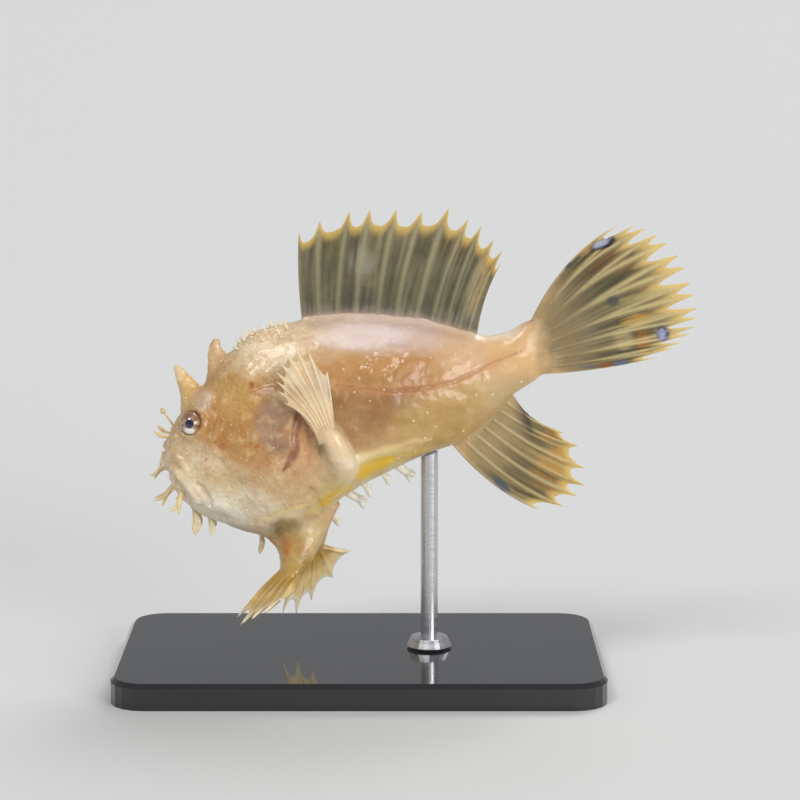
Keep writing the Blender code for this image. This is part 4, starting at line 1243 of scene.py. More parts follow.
def noise_at(tree, scale, detail=3.0):
    feeds = {"Scale": scale, "Detail": detail, "Vector": add(tree, "ShaderNodeTexCoord")["Object"]}
    return add(tree, "ShaderNodeTexNoise", feeds)["Fac"]


def attribute(tree, name, output="Fac"):
    return add(tree, "ShaderNodeAttribute", attribute_name=name)[output]


def reckon(tree, operation, first, second):
    """One value and another, added, multiplied or compared. The second may be a plain number."""
    return add(tree, "ShaderNodeMath", {0: first, 1: second}, operation=operation)["Value"]


print("patterns ready")

# %% [markdown]
# ## The shared grain
#
# Skin and fins show the same fine grain, at different sizes. An effect that two materials use
# is built once, as a group with named inputs: here a speckle that varies a colour, and a
# height for the bump.

# %% Grain
def grain_group():
    """Fine grain: a value that varies a colour, and a height for the bump."""
    group = bpy.data.node_groups.new("skin grain", "ShaderNodeTree")
    add_sockets(group, "INPUT", (("Scale", "Float", 900.0), ("Contrast", "Float", 0.5)))
    add_sockets(group, "OUTPUT", (("Value", "Float"), ("Height", "Float")))
    given = add(group, "NodeGroupInput")
    place = {"Scale": given["Scale"], "Vector": add(group, "ShaderNodeTexCoord")["Object"]}
    speckle = add(group, "ShaderNodeTexNoise", {"Detail": 4.0, **place})["Fac"]
    cells = add(group, "ShaderNodeTexVoronoi", place)["Distance"]
    value = reckon(group, "MULTIPLY", ramp(group, speckle, 0.3, 0.7), given["Contrast"])
    height = reckon(group, "ADD", ramp(group, cells, 0.0, 0.6, 1.0, 0.0), speckle)
    add(group, "NodeGroupOutput", {"Value": value, "Height": height})
    return group


GRAIN = grain_group()


def grained(tree, shader, scale, contrast, strength, distance, share=None):
    """Places the grain in a material: its height becomes bump and its value is returned."""
    grain = add(tree, "ShaderNodeGroup", {"Scale": scale, "Contrast": contrast}, node_tree=GRAIN)
    value, height = grain["Value"], grain["Height"]
    if share is not None:
        value, height = (reckon(tree, "MULTIPLY", part, share) for part in (value, height))
    feeds = {"Strength": strength, "Distance": distance, "Height": height}
    feed(tree, shader, "Normal", add(tree, "ShaderNodeBump", feeds)["Normal"])
    return value


print("grain group with", len(GRAIN.nodes), "nodes")

# %% [markdown]
# ## Wet skin
#
# Wet skin is clear on top and cloudy below: light sinks in, spreads and comes back warmer.
# A Principled shader with subsurface scattering and a clear coat gives this. Rusty mottling,
# pale clouds and a broad veil lie over the painted colour, and weaker where the skin is
# smooth as jelly. The flesh on the tail's rays is duller than the rest.

# %% Skin material
VEIL = (230, 194, 134)
BARE_GRAIN = 0.3
DULL = 0.75
WET_COAT = 0.4


def skin_material():
    made, tree, shader = new_material(
        "wet skin", Roughness=0.38, Subsurface_Weight=0.35, Subsurface_Scale=0.0012,
        Subsurface_Radius=(1.0, 0.45, 0.25), Coat_Weight=WET_COAT, Coat_Roughness=0.1,
        Specular_IOR_Level=0.5,
    )
    grainy = ramp(tree, attribute(tree, "smooth"), 0, 1, 1.0, BARE_GRAIN)
    tint = attribute(tree, "tint", "Color")
    # Scale and detail of the noise, its range, the strength and the colour
    for scale, detail, low, high, strength, shade in (
        (480.0, 5, 0.45, 0.75, 0.55, (186, 118, 58)), (820.0, 4, 0.5, 0.72, 0.45, (246, 224, 172)),
    ):
        cloud = ramp(tree, noise_at(tree, scale, detail), low, high, 0, strength)
        tint = mix_colour(tree, reckon(tree, "MULTIPLY", cloud, grainy), tint, colour(*shade))
    broad = ramp(tree, noise_at(tree, 190.0, 2), 0.35, 0.7, 0, 0.3)
    tint = mix_colour(tree, broad, tint, colour(*VEIL))
    fleck = grained(tree, shader, 2600.0, 0.4, 0.35, 0.00012, grainy)
    tint = mix_colour(tree, fleck, tint, colour(214, 170, 120), "MULTIPLY")
    feed(tree, shader, "Base Color", tint)
    matt = attribute(tree, "matt")
    wet = ramp(tree, noise_at(tree, 700.0), 0.3, 0.7, 0.28, 0.46)
    dull = reckon(tree, "MULTIPLY", matt, DULL)
    feed(tree, shader, "Roughness", reckon(tree, "MAXIMUM", wet, dull))
    feed(tree, shader, "Coat Weight", ramp(tree, matt, 0, 1, WET_COAT, 0.0))
    return made


SKIN = skin_material()
finish_piece(
    skin, SKIN, "skin", "head", "jaw", "trunk", "tail_stalk", "arm_left", "arm_right",
    "leg_left", "leg_right", "spine_second", "spine_third",
)

# %% [markdown]
# ## Warts, spinules and pale dots
#
# The nape and crown bristle with tiny soft points, the lips and cheeks are grainy, and the
# flank is strewn with pale dots. One tree of Geometry Nodes strews a small form over a copy of
# the skin, as densely as a mask on the skin says. Its inputs set the spacing, size and lean.

# %% A tree that strews small forms over a surface
FULL_DENSITY = 2e7
CONE_SIDES, CONE_STEPS = 7, 3
WART_SIDES, WART_RINGS = 8, 5
WART_SQUASH = (1.0, 1.0, 0.45)
SMALLEST, LARGEST = 0.55, 1.35


def small_form(tree, given):
    """A pointed cone or a low round wart, as the tree's switch says."""
    point = add(tree, "GeometryNodeMeshCone", {
        "Vertices": CONE_SIDES, "Side Segments": CONE_STEPS,
        "Radius Bottom": given["Width"], "Depth": given["Height"],
    })
    wart = add(tree, "GeometryNodeMeshUVSphere", {
        "Segments": WART_SIDES, "Rings": WART_RINGS, "Radius": given["Width"],
    })
    flat = add(tree, "GeometryNodeTransform", {"Scale": WART_SQUASH, "Geometry": wart["Mesh"]})
    chosen = add(tree, "GeometryNodeSwitch", {
        "Switch": given["Pointed"], "False": flat["Geometry"], "True": point["Mesh"],
    }, input_type="GEOMETRY")
    return add(tree, "GeometryNodeSetShadeSmooth", {"Geometry": chosen["Output"]})["Geometry"]


def leaning(tree, given, upright):
    """The surface's own direction, leaned at random by up to the tree's lean to every side."""
    to_other_side = reckon(tree, "MULTIPLY", given["Lean"], -1.0)
    lean = add(tree, "FunctionNodeRandomValue", {
        "Min": to_other_side, "Max": given["Lean"], "Seed": given["Seed"],
    }, data_type="FLOAT_VECTOR")
    return add(tree, "FunctionNodeRotateRotation", {
        "Rotation": upright, "Rotate By": lean["Value"],
    }, rotation_space="LOCAL")["Rotation"]


def strewing_tree():
    tree = bpy.data.node_groups.new("strew small forms", "GeometryNodeTree")
    add_sockets(tree, "INPUT", (
        ("Surface", "Geometry"), ("Spacing", "Float", 0.0005), ("Density", "Float", FULL_DENSITY),
        ("Width", "Float", 0.0001), ("Height", "Float", 0.0002), ("Pointed", "Bool", False),
        ("Lean", "Float", 0.3), ("Seed", "Int", 1), ("Finish", "Material"),
    ))
    add_sockets(tree, "OUTPUT", (("Small forms", "Geometry"),))
    given = add(tree, "NodeGroupInput")
    mask = add(tree, "GeometryNodeInputNamedAttribute", {"Name": "strewn"}, data_type="FLOAT")
    points = add(tree, "GeometryNodeDistributePointsOnFaces", {
        "Mesh": given["Surface"], "Distance Min": given["Spacing"], "Density Max": given["Density"],
        "Density Factor": mask["Attribute"], "Seed": given["Seed"],
    }, distribute_method="POISSON")
    size = add(tree, "FunctionNodeRandomValue", {
        2: SMALLEST, 3: LARGEST, "Seed": given["Seed"],
    }, data_type="FLOAT")
    placed = add(tree, "GeometryNodeInstanceOnPoints", {
        "Points": points["Points"], "Instance": small_form(tree, given),
        "Rotation": leaning(tree, given, points["Rotation"]), "Scale": size[1],
    })
    real = add(tree, "GeometryNodeRealizeInstances", {"Geometry": placed["Instances"]})
    finished = add(tree, "GeometryNodeSetMaterial", {
        "Geometry": real["Geometry"], "Material": given["Finish"],
    })
    add(tree, "NodeGroupOutput", {"Small forms": finished["Geometry"]})
    return tree


STREWING = strewing_tree()
print("strewing tree with", len(STREWING.nodes), "nodes")

# %% [markdown]
# ## Strewing
#
# The tree runs as a modifier on a copy of the skin. Its result is taken out as a plain mesh,
# and the copy is thrown away, so that nothing live is left on the finished piece. The forms
# take up the skin's colour below them, made paler.

# %% Strew over a surface
def strew(name, surface, mask, look, **sizes):
    """Strews forms over a copy of a surface and returns them as one plain mesh object."""
    host = show("host", surface.data.copy())
    set_mask(host, "strewn", mask)
    modifier = host.modifiers.new("strew", "NODES")
    modifier.node_group = STREWING
    by_name = {socket.name: socket.identifier for socket in STREWING.interface.items_tree}
    for key, value in dict(sizes, Finish=look).items():
        modifier[by_name[key]] = value
    mesh = settled(host)
    bpy.data.objects.remove(host)
    return show(name, mesh)


def lighten(thing, amount, shade):
    """Turns the colours that the forms took from the skin towards a paler one."""
    layer = thing.data.color_attributes["tint"]
    found = np.zeros(len(layer.data) * 4)
    layer.data.foreach_get("color", found)
    found = found.reshape(-1, 4)
    found[:, :3] += (shade - found[:, :3]) * amount
    layer.data.foreach_set("color", found.ravel())


print("inputs of the tree:", [socket.name for socket in STREWING.interface.items_tree])

# %% [markdown]
# ## Where the small forms grow
#
# Spinules and points stand on the nape, fine points edge the second spine and the chin, warts
# dot the head, and the flank has pale dots far apart. Each kind gets a mask over the skin, its
# own size in metres and its own seed.

# %% Where they grow
# Each mask is 1 where its forms stand closest, and most fade out over a few millimetres
midline = near(np.abs(y), 1.6, 2.2)
nape = near(np.hypot((x + 11.4) / 3.6, (z - 40.0) / 2.6), 0.6, 0.7) * midline * (z > 37)
head = below(x, -7.5, 5.0) * (z > 17.5)
for side in (-1, 1):
    head *= np.linalg.norm(skin_places - eye_centre(side)[0], axis=1) > 2.0
chin = near(np.hypot((x + 20.6) / 2.6, (z - 23.0) / 4.0), 0.7, 0.7)
flank = above(x, -5.0, 3.0) * (z > 25) * (x < 19) * (1 - midline * (z > 40))
horn_line = line_distance(skin_places, ((-18.9, 33.5), (-20.5, 36.1)), 0.4)
horn_edge = (horn_line < 1) * (np.abs(y) < 0.35)
# Name, mask, how much paler, spacing, width, height, lean and seed. A wart has no height
STREWN = (
    ("nape_spinules", 0.4 * nape, 0.8, 0.001, 0.00017, 0.00105, 0.35, 5),
    ("nape_points", 0.6 * nape, 0.8, 0.0005, 0.00012, 0.00042, 0.4, 8),
    ("horn_points", horn_edge * 1.0, 0.8, 0.00042, 0.0001, 0.0006, 0.2, 2),
    ("head_warts", 0.4 * head + 0.3 * nape, 0.22, 0.0011, 0.00013, None, None, 3),
    ("chin_points", 0.5 * chin, 0.7, 0.0009, 0.0001, 0.0004, 0.3, 4),
    ("flank_dots", 0.4 * flank, 0.4, 0.0018, 0.00015, None, None, 6),
)
PALE_SKIN = colour(250, 232, 196)


def small_form_material():
    made, tree, shader = new_material("pale points", Coat_Weight=0.4, Coat_Roughness=0.1)
    tint = attribute(tree, "tint", "Color")
    cloud = ramp(tree, noise_at(tree, 2400.0), 0.3, 0.7, 0, 0.3)
    feed(tree, shader, "Base Color", mix_colour(tree, cloud, tint, colour(250, 236, 206)))
    feed(tree, shader, "Roughness", ramp(tree, noise_at(tree, 900.0), 0.3, 0.7, 0.3, 0.5))
    return made


PALE_POINTS = small_form_material()
for name, mask, paler, spacing, width, height, lean, seed in STREWN:
    sizes = dict(Spacing=spacing, Width=width, Seed=seed)
    if height:
        sizes.update(Height=height, Pointed=True, Lean=lean)
    grown = strew(name, skin, mask, PALE_POINTS, **sizes)
    lighten(grown, paler, PALE_SKIN)
    finish_piece(grown, PALE_POINTS, "skin")

# %% [markdown]
# ## The dorsal and tail fins' marks
#
# The fins are clouded glass: a grey olive web with darker bands, orange stains and a few
# blue-grey eye spots ringed with white. Zones are painted as on the skin. Marks are painted
# last, over the rays, with crisper edges.

# %% Zones of the dorsal fin and the tail
# x, z, radii, turn, softness, strength, colour
DORSAL_ZONES = (
    (3.0, 42.2, 12.0, 1.0, -3, 0.8, 0.6, (150, 140, 134)),
    (-1.3, 44.9, 1.4, 0.8, 0, 0.9, 0.7, (84, 78, 70)),
    (1.2, 44.5, 1.8, 0.9, 0, 0.9, 0.7, (80, 76, 66)),
    (7.6, 43.6, 2.4, 1.2, -10, 0.9, 0.6, (86, 78, 66)),
    (0.2, 48.4, 1.6, 1.6, 0, 0.9, 0.55, (176, 170, 156)),
    (-2.5, 49.8, 1.3, 1.2, 0, 0.9, 0.6, (112, 102, 54)),
    (2.3, 50.3, 1.5, 1.4, 0, 0.9, 0.6, (108, 100, 54)),
    (6.6, 51.4, 1.6, 1.0, 0, 0.9, 0.5, (118, 110, 80)),
    (11.2, 49.9, 2.8, 1.2, -8, 0.8, 0.75, (104, 80, 38)),
    (15.0, 48.9, 1.1, 2.4, -25, 0.7, 0.85, (218, 160, 70)),
    (13.4, 45.4, 0.9, 2.8, -15, 0.8, 0.7, (208, 182, 136)),
)
CAUDAL_ZONES = (
    (23.4, 40.4, 3.4, 3.6, 20, 0.8, 0.6, (96, 98, 86)),
    (25.4, 40.2, 1.8, 1.2, -10, 0.9, 0.5, (92, 96, 92)),
    (25.4, 50.0, 1.2, 0.9, 35, 0.7, 0.8, (196, 142, 92)),
    (28.2, 48.6, 2.6, 1.5, 30, 0.8, 0.85, (118, 78, 30)),
    (30.9, 47.0, 2.4, 1.0, -50, 0.7, 0.6, (126, 92, 42)),
    (34.2, 48.0, 1.8, 0.9, -60, 0.7, 0.7, (150, 102, 40)),
    (33.4, 44.6, 2.6, 1.0, -75, 0.8, 0.5, (150, 112, 58)),
    (31.6, 41.6, 1.8, 0.7, 10, 0.7, 0.8, (222, 170, 76)),
    (32.4, 39.2, 0.9, 1.7, 0, 0.6, 0.85, (178, 112, 26)),
    (30.2, 39.3, 1.2, 1.2, 0, 0.8, 0.6, (206, 188, 140)),
    (33.2, 36.9, 1.8, 0.5, 8, 0.8, 0.7, (216, 172, 92)),
)
CAUDAL_MARKS = (
    (27.7, 50.4, 2.0, 0.85, 28, 0.25, 0.95, (22, 28, 46)),
    (27.4, 50.4, 0.95, 0.4, 28, 0.7, 0.85, (186, 196, 214)),
    (34.7, 40.0, 0.95, 1.25, 8, 0.25, 0.95, (40, 50, 96)),
    (34.6, 39.9, 0.42, 0.75, 8, 0.6, 0.85, (176, 188, 220)),
    (28.9, 43.8, 0.75, 0.65, 0, 0.6, 0.75, (58, 66, 78)),
    (23.6, 48.0, 0.6, 0.6, 0, 0.5, 0.8, (48, 58, 78)),
    (21.6, 43.8, 1.9, 0.45, 62, 0.6, 0.75, (54, 66, 84)),
    (25.5, 36.25, 1.5, 0.3, 0, 0.6, 0.85, (70, 80, 112)),
    (28.2, 36.35, 0.8, 0.4, 3, 0.5, 0.8, (150, 76, 36)),
    (29.9, 36.5, 1.0, 0.42, 5, 0.5, 0.85, (96, 108, 136)),
)
print(len(DORSAL_ZONES), "zones on the dorsal fin,", len(CAUDAL_ZONES), "on the tail")

# %% Zones of the anal and pectoral fins
ANAL_ZONES = (
    (23.0, 25.2, 3.0, 1.8, 30, 0.8, 0.8, (204, 150, 64)),
    (21.6, 22.8, 2.2, 1.2, -30, 0.8, 0.75, (166, 116, 44)),
    (24.4, 22.4, 1.4, 1.8, 0, 0.8, 0.7, (222, 176, 88)),
    (22.6, 28.4, 1.8, 0.9, 10, 0.7, 0.85, (208, 140, 58)),
    (16.9, 26.6, 2.2, 1.2, -45, 0.9, 0.6, (108, 84, 52)),
    (12.9, 27.2, 1.6, 1.0, -40, 0.9, 0.6, (116, 122, 112)),
)
ANAL_MARKS = (
    (16.3, 22.4, 1.5, 0.55, -42, 0.5, 0.85, (72, 84, 104)),
    (18.6, 30.4, 2.0, 0.6, -55, 0.7, 0.85, (36, 42, 54)),
    (17.6, 32.4, 1.0, 0.5, -65, 0.8, 0.7, (52, 60, 68)),
)
PECTORAL_ZONES = (
    (-4.2, 36.2, 0.9, 2.4, 10, 0.8, 0.75, (188, 178, 158)),
    (-6.0, 33.6, 2.2, 1.2, -40, 0.9, 0.5, (204, 152, 104)),
)
FIN_MARKINGS = {
    "dorsal": (DORSAL_ZONES, ()),
    "caudal": (CAUDAL_ZONES, CAUDAL_MARKS),
    "anal": (ANAL_ZONES, ANAL_MARKS),
    "pectoral": (PECTORAL_ZONES, ()),
    "pelvic": ((), ()),
}
print("marked fins:", [key for key, (zones, marks) in FIN_MARKINGS.items() if zones or marks])

# %% [markdown]
# ## Webs, rays and roots
#
# Between cream rays the web is streaked along its length, and the rays' free tips are paler
# than the rest. At the root the skin's colour climbs the rays and fades out. The skin's
# material lays a veil over its colours, so the roots of the fins get a share of it too.

# %% Tint the fins
# Web, light streak, dark streak, ray and tip colours, and where the tip colour starts. The
# far foot lies in the near leg's shade, so it is painted paler than the near one as painted light
FIN_COATS = {
    "dorsal": (
        (102, 98, 74), (138, 132, 104), (78, 74, 54), (172, 164, 128), (220, 186, 104), 0.86,
    ),
    "caudal": (
        (88, 84, 58), (172, 156, 104), (44, 38, 24), (226, 208, 152), (234, 202, 128), 0.84,
    ),
    "anal": (
        (122, 112, 76), (188, 166, 112), (84, 72, 44), (212, 192, 138), (232, 198, 116), 0.88,
    ),
    "pectoral": (
        (226, 198, 158), (248, 230, 198), (206, 164, 122), (250, 234, 204), (240, 216, 168), 0.9,
    ),
    "pelvic_left": (
        (224, 188, 120), (238, 208, 148), (194, 150, 80), (240, 214, 154), (252, 240, 212), 0.84,
    ),
    # Painted light: paler colours, since this foot lies in the near leg's shade
    "pelvic_right": (
        (244, 214, 150), (250, 232, 186), (214, 176, 108), (250, 234, 194), (255, 250, 232), 0.8,
    ),
}
# Where along the rays the skin's colour starts to fade, and over what share
FLESH_FADE = {
    "dorsal": (0.03, 0.14), "caudal": (0.16, 0.4), "anal": (0.2, 0.32), "pectoral": (0.34, 0.3),
    "pelvic": (0.26, 0.28),
}
PECTORAL_ROOT = colour(240, 216, 178)
ROOT_VEIL = 0.2
STREAKS_PER_RAY = 5.0
STREAKING, CLOUDING, TIPPING = 1.5, 0.35, 0.85


def fin_tint(thing, masks, key):
    """Lays web, streaks, zones, rays, tips and marks over one another, and skin at the root."""
    kind = kind_of(key)
    *shades, tip_from = FIN_COATS[key if key in FIN_COATS else kind]
    web, light, dark, ray, tip = (colour(*shade) for shade in shades)
    zones, marks = FIN_MARKINGS[kind]
    places = places_of(thing)
    along = masks["along"]
    fan = np.stack([masks["column"] * STREAKS_PER_RAY, along * 1.5, np.zeros(len(places))], -1)
    streak = wavy(fan, 1.0, seed=8)
    cloud = wavy(places, 1.9, seed=9)
    tint = np.zeros((len(places), 3)) + web
    tint *= (1 + CLOUDING * cloud)[:, None]
    tint = blend(tint, paint(places, tint, zones), 0.8 + 1.4 * streak)
    # The streaks and the rays get clearer towards the tips
    tint = blend(tint, light, STREAKING * streak * (0.3 + 0.7 * along))
    tint = blend(tint, dark, -STREAKING * streak * (0.35 + 0.65 * along))
    tint = blend(tint, ray, masks["ray"] * (0.35 + 0.45 * along))
    tint = blend(tint, tip, TIPPING * near(1 - masks["rim"], 1 - tip_from))
    tint = paint(places, tint, marks)
    start, width = FLESH_FADE[kind]
    veiled = skin_colours(places) * (1 - ROOT_VEIL) + colour(*VEIL) * ROOT_VEIL
    root = PECTORAL_ROOT if kind == "pectoral" else veiled
    set_tint(thing, blend(tint, root, near(along - start, width)))


for key, (thing, masks) in fins.items():
    fin_tint(thing, masks, key)
print("tinted", len(fins), "fins")

# %% [markdown]
# ## Clouded membrane
#
# A fin lets some light through, its web more than its rays. Real refraction would cost much
# and show little in so thin a sheet, so Alpha lets a share of the backdrop through and
# subsurface scattering gives the glow.

# %% Fin material
def fin_material(name, clear):
    """Clouded membrane: clear is how much of the backdrop the bare web lets through."""
    made, tree, shader = new_material(
        name, Roughness=0.36, Subsurface_Weight=0.2, Subsurface_Scale=0.0005,
        Subsurface_Radius=(1.0, 0.7, 0.45), Coat_Weight=0.12, Coat_Roughness=0.15,
        Specular_IOR_Level=0.3,
    )
    fleck = grained(tree, shader, 2200.0, 0.2, 0.1, 0.0001)
    tint = attribute(tree, "tint", "Color")
    tint = mix_colour(tree, fleck, tint, colour(190, 164, 124), "MULTIPLY")
    feed(tree, shader, "Base Color", tint)
    feed(tree, shader, "Alpha", ramp(tree, attribute(tree, "ray"), 0.0, 0.7, 1 - clear, 1.0))
    return made


CLEAR_FIN = fin_material("clear fin", 0.07)
FLESHY_FIN = fin_material("fleshy fin", 0.08)
# The keys of the paired fins name a side
for key, (thing, _) in fins.items():
    finish_piece(thing, FLESHY_FIN if "_" in key else CLEAR_FIN, "fin_membrane", "fin_" + key)

# %% [markdown]
# ## Eyes
#
# A small blue-black pupil sits in a pale iris crossed by brown bars, under a clear wet dome. The
# top of the iris is painted darker as shade under the lid, and a painted white highlight lies below
# the pupil.
# The bars run out from the pupil, so each point's place is measured in the plane that the eye
# looks along, by its distance and its angle round the gaze.

# %% Eyes
PUPIL_RADIUS = 0.46
# How far the eyes look forwards and up
GAZE_FORWARD, GAZE_UP = 0.35, 0.08
IRIS, BAR_BROWN, LID_SHADE_BROWN, SPECK_GREY = (colour(*shade) for shade in (
    (182, 154, 118), (112, 66, 40), (132, 84, 66), (150, 128, 112),
))
RIM_BROWN, GLINT_WHITE, PUPIL_RING, PUPIL_BLUE = (colour(*shade) for shade in (
    (142, 98, 74), (250, 250, 240), (168, 130, 90), (16, 26, 64),
))


def eye_tint(places, gaze):
    """Colours round the gaze, laid over one another from the iris to the pupil."""
    across = unit(np.cross(gaze, (0, 0, 1)))
    x, y = places @ across, places @ np.cross(across, gaze)
    radius, angle = np.hypot(x, y), np.arctan2(y, x)
    speck = wavy(places, 0.3, seed=9)
    bars = 0.5 + 0.5 * np.cos(angle * 5 + 1.3 * np.sin(angle * 2 + 1) + 0.4)
    barred = np.clip((bars - 0.55 + 0.3 * speck) * 4, 0, 1) * near(np.abs(radius - 0.85) - 0.2, 0.3)
    tint = np.tile(IRIS, (len(places), 1))
    for shade, mask in (
        (BAR_BROWN, 0.85 * barred),
        # Painted shade: the top of the iris, darkened under the lid
        (LID_SHADE_BROWN, 0.8 * np.clip((y - 0.35) * 2.2 + 0.5 * speck, 0, 1)),
        (SPECK_GREY, 0.6 * np.clip(speck + 0.1, 0, 1)),
        (RIM_BROWN, 0.9 * near(1.2 - radius, 0.22)),
        # Painted highlight: a white glint below the pupil
        (GLINT_WHITE, near(np.hypot((x - 0.05) / 0.75, (y + 0.82) / 0.42) - 0.6, 0.45)),
        (PUPIL_RING, near(np.abs(radius - PUPIL_RADIUS - 0.06) - 0.02, 0.1)),
        (PUPIL_BLUE, near(radius - PUPIL_RADIUS, 0.07) * (places @ gaze > 0)),
    ):
        tint = blend(tint, shade, mask)
    return tint


def build_eye(side, word):
    centre, normal = eye_centre(side)
    thing = ball("eye_ball_" + word, centre, EYE_RADIUS, segments=96)
    gaze = unit(normal * GAZE_FORWARD + np.array((0.0, side, GAZE_UP)))
    set_tint(thing, eye_tint(places_of(thing) - centre, gaze))
    return thing


EYE, tree, shader = new_material(
    "eye", Roughness=0.12, Coat_Weight=1.0, Coat_Roughness=0.02,
    Subsurface_Weight=0.1, Subsurface_Scale=0.0004,
)
feed(tree, shader, "Base Color", attribute(tree, "tint", "Color"))
for side, word in ((-1, "left"), (1, "right")):
    finish_piece(build_eye(side, word), EYE, "eye", "eye_" + word)

# %% [markdown]
# ## Skin flaps
#
# Weed fish wear soft leaf-shaped flaps on the chin, throat and belly. Each is a thin leaf on a
# narrow stalk with a raised middle, bent a little as it hangs in water. It is a flattened
# limb, and a forked one is a strap with two short prongs.

# %% A leaf
# How far a leaf bends as a share of its length, and its half thickness
LEAF_BEND, LEAF_THICKNESS = 0.15, 0.13
# How far to the side each prong of a forked leaf ends, and how far along, as shares of its length
PRONGS = ((-0.14, 1.0), (0.24, 0.9))


def leaf(root, tip, width, fork):
    """A flat leaf from root to tip. A forked one is a strap that ends in two short prongs."""
    along = tip - root
    across = unit(np.cross(along, (0, 1, 0))) * np.linalg.norm(along)
    bend = across * LEAF_BEND

    def strip(name, path, widths, depths, sides, count):
        """A flat limb whose widths and depths are shares of the leaf's own."""
        widths, depths = np.multiply(widths, width), np.multiply(depths, LEAF_THICKNESS)
        return limb(name, path, widths, depths, sides=sides, count=count)

    start = root - along * 0.25
    if not fork:
        middle = (root + tip) / 2 + bend * 0.5
        path = [start, root + along * 0.08, middle, (middle + tip) / 2, tip]
        return [strip("leaf", path, [0.9, 0.6, 0.95, 0.9, 0.25], [2.4, 1.8, 1.3, 1, 0.5], 16, 26)]
    parting = root + along * 0.62 + bend * 0.4
    path = [start, root + along * 0.15, parting]
    things = [strip("strap", path, [1, 0.72, 0.62], [2.4, 1.7, 1.3], 16, 22)]
    for out, reach in PRONGS:
        end = root + along * reach + across * out
        path = [parting - along * 0.12, (parting + end) / 2 + across * out * 0.15, end]
        things.append(strip("prong", path, [0.5, 0.4, 0.1], [1.2, 1, 0.4], 12, 14))
    return things


print("leaf maker ready")

# %% Flaps
# Root x, z, tip x, z, half width, share of the half breadth out, forked
FLAPS = (
    (-22.6, 24.6, -23.9, 23.5, 0.40, 0.0, True),
    (-21.4, 22.3, -23.5, 20.4, 0.42, 0.35, True),
    (-20.0, 22.2, -21.1, 19.9, 0.46, 0.8, True),
    (-18.9, 19.8, -18.9, 16.9, 0.52, 0.4, False),
    (-17.2, 19.0, -17.0, 17.0, 0.40, 0.45, False),
    (-11.4, 16.9, -11.6, 14.7, 0.32, 0.3, False),
    (-21.6, 28.0, -23.2, 28.9, 0.26, 0.45, False),
    (-3.6, 19.0, -2.3, 17.6, 0.38, 0.35, False),
    (-1.6, 21.8, 0.5, 20.2, 0.50, 0.2, True),
    (0.2, 22.9, 1.1, 21.4, 0.34, 0.35, False),
    (2.4, 24.0, 3.3, 22.7, 0.34, 0.2, False),
    (4.3, 24.9, 6.0, 23.2, 0.60, 0.3, True),
)
FLAP_GROUND, CHIN_YELLOW, BELLY_WHITE, FLAP_BROWN = (colour(*shade) for shade in (
    (244, 230, 196), (236, 204, 134), (248, 246, 238), (206, 178, 132),
))
# As clear as a fin between its web and its rays
FLAP_CLEARNESS = 0.6
# Half the body's breadth where a flap hangs from its very edge, so that a pair stays apart
LEAST_BREADTH = 1.5


def flap_tint(places):
    x = places[:, 0]
    tint = np.tile(FLAP_GROUND, (len(places), 1))
    tint = blend(tint, CHIN_YELLOW, 0.6 * near(np.abs(x + 21.4), 1.6, 1.6))
    tint = blend(tint, BELLY_WHITE, 0.9 * above(x, -5, 3))
    return blend(tint, FLAP_BROWN, 0.7 * wavy(places, 0.5, seed=12))


def build_flaps():
    grown = Surface(skin)
    things = []
    for root_x, root_z, tip_x, tip_z, width, out, fork in FLAPS:
        for side in (-1, 1) if out else (0,):
            edge, _ = hull.beside(root_x, root_z, side or -1)
            y = max(abs(edge[1]), LEAST_BREADTH) * out * side
            root, _ = grown.nearest((root_x, y, root_z))
            swing = np.array((tip_x - root_x, 0.35 * y, tip_z - root_z))
            things += leaf(root, root + swing, width, fork)
    thing = join(things, "skin_flaps")
    places = places_of(thing)
    set_tint(thing, flap_tint(places))
    set_mask(thing, "ray", np.full(len(places), FLAP_CLEARNESS))
    return thing


finish_piece(build_flaps(), FLESHY_FIN, "skin")

# %% [markdown]
# ## Lure
#
# The first spine is a tiny fishing rod over the mouth, a thread with a small soft bait. The
# bait is a ball with a few hairs that point away from the thread.

# %% Lure
LURE_RADII = [0.2, 0.13, 0.1]
BAIT_RADIUS = 0.3
HAIRS, HAIR_REACH, HAIR_RADII, HAIR_SIDE = 7, 0.55, [0.1, 0.04], (0.2, 1, 0.1)


def build_lure():
    tip = (LURE_PATH[-1][0], 0, LURE_PATH[-1][1])
    thread = limb("thread", plane_points(LURE_PATH), LURE_RADII, LURE_RADII, sides=12, count=24)
    parts = [thread, ball("bait", tip, BAIT_RADIUS, segments=20)]
    draw = random.Random(2)
    for _ in range(HAIRS):
        way = (draw.uniform(-1, 0.6), draw.uniform(-1, 1), draw.uniform(-0.4, 1))
        end = np.array(tip) + np.array(Vector(way).normalized()) * HAIR_REACH
        path = [tip, tuple(end)]
        parts.append(limb("hair", path, HAIR_RADII, HAIR_RADII, side=HAIR_SIDE, sides=8, count=6))
    return join(parts, "lure")


lure = build_lure()
set_tint(lure, np.tile(colour(236, 212, 170), (len(lure.data.vertices), 1)))
finish_piece(lure, SKIN, "skin", "spine_lure")

# %% [markdown]
# ## Stand
#
# The stand is polished black acrylic with a slim brushed rod. Both solids already have their
# true shape, so they stay and get materials with the marks of their making: faint smudges on
# the polish, and fine rings left by turning the steel.

# %% Stand
BRUSH_SCALE = (300, 300, 9000)


def acrylic():
    made, tree, shader = new_material(
        "black acrylic", Base_Color=(0.012, 0.012, 0.014, 1), Coat_Weight=0.6,
    )
    feed(tree, shader, "Roughness", ramp(tree, noise_at(tree, 60.0, 6), 0.35, 0.75, 0.06, 0.2))
    return made


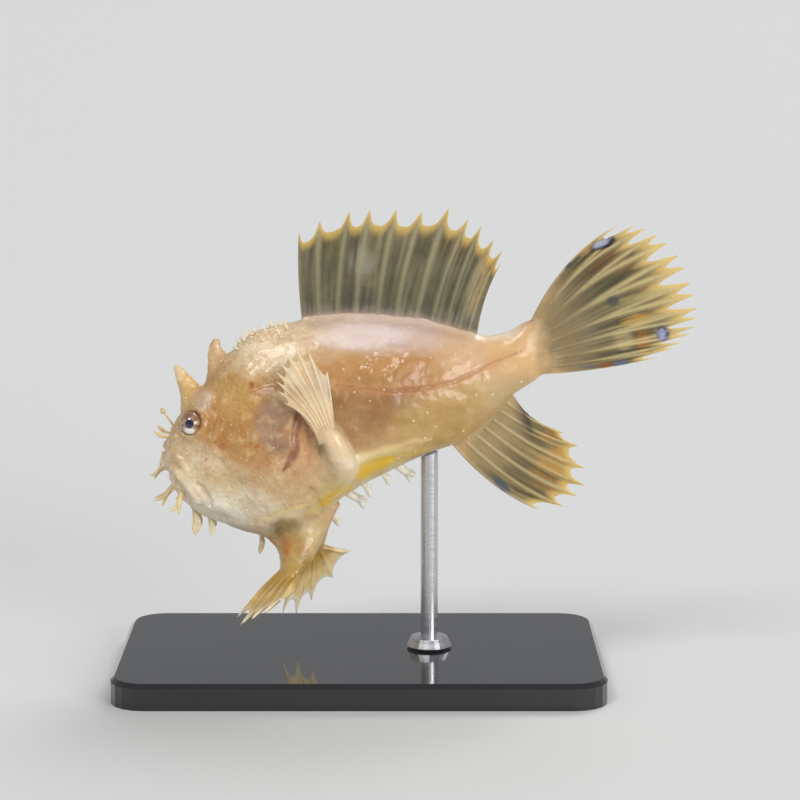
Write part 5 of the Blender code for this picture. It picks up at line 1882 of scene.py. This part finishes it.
def brushed_steel():
    made, tree, shader = new_material("brushed steel", Metallic=1.0)
    where = add(tree, "ShaderNodeTexCoord")["Object"]
    squeezed = add(tree, "ShaderNodeMapping", {"Scale": BRUSH_SCALE, "Vector": where})["Vector"]
    lines = add(tree, "ShaderNodeTexNoise", {"Scale": 1.0, "Vector": squeezed})["Fac"]
    feed(tree, shader, "Base Color", mix_colour(tree, lines, (0.52, 0.52, 0.54), (0.7, 0.7, 0.72)))
    feed(tree, shader, "Roughness", ramp(tree, lines, 0.3, 0.7, 0.22, 0.4))
    return made


for node, look in (("stand_base", acrylic()), ("stand_rod", brushed_steel())):
    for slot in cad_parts[node].material_slots:
        slot.material = look
print("stand dressed")

# %% [markdown]
# ## Floor and light
#
# A flat pale floor runs to the horizon, so the model can be seen from any side. Three far, wide
# lights wrap the fish: a key above and to the left, a low fill from the front right, and one
# from behind that makes the thin fins glow.

# %% Floor and light
FLOOR_HALF = 6000.0
# Name, the way it comes from, strength and breadth in degrees
LIGHTS = (
    ("key", (-0.14, -0.2, 0.33), 1.02, 22),
    ("fill", (0.2, -0.25, 0.08), 1.5, 30),
    ("rim", (0.12, 0.2, 0.27), 1.2, 30),
)
SKY_TONE = (0.8, 0.82, 0.85, 1)
SKY_STRENGTH = 0.4


def add_floor():
    corners = [(x * FLOOR_HALF, y * FLOOR_HALF, 0) for x, y in ((-1, -1), (1, -1), (1, 1), (-1, 1))]
    floor = new_object("floor", np.array(corners), [(0, 1, 2, 3)])
    look, *_ = new_material("pale floor", Base_Color=(0.7, 0.7, 0.69, 1), Roughness=0.8)
    floor.data.materials.append(look)


def add_light(name, source, strength, width):
    """A far, wide light: source is the way it comes from, and width its breadth in degrees."""
    lamp = link(name, bpy.data.lights.new(name, "SUN"))
    lamp.data.energy = strength
    lamp.data.angle = math.radians(width)
    lamp.rotation_euler = (-Vector(source)).to_track_quat("-Z", "Y").to_euler()


add_floor()
for light in LIGHTS:
    add_light(*light)
world = bpy.data.worlds.new("studio")
world.use_nodes = True
sky = world.node_tree.nodes["Background"].inputs
sky["Color"].default_value = SKY_TONE
sky["Strength"].default_value = SKY_STRENGTH
bpy.context.scene.world = world
bpy.context.scene.view_settings.view_transform = "Standard"
print("lit by", len(LIGHTS), "lights and a pale sky")
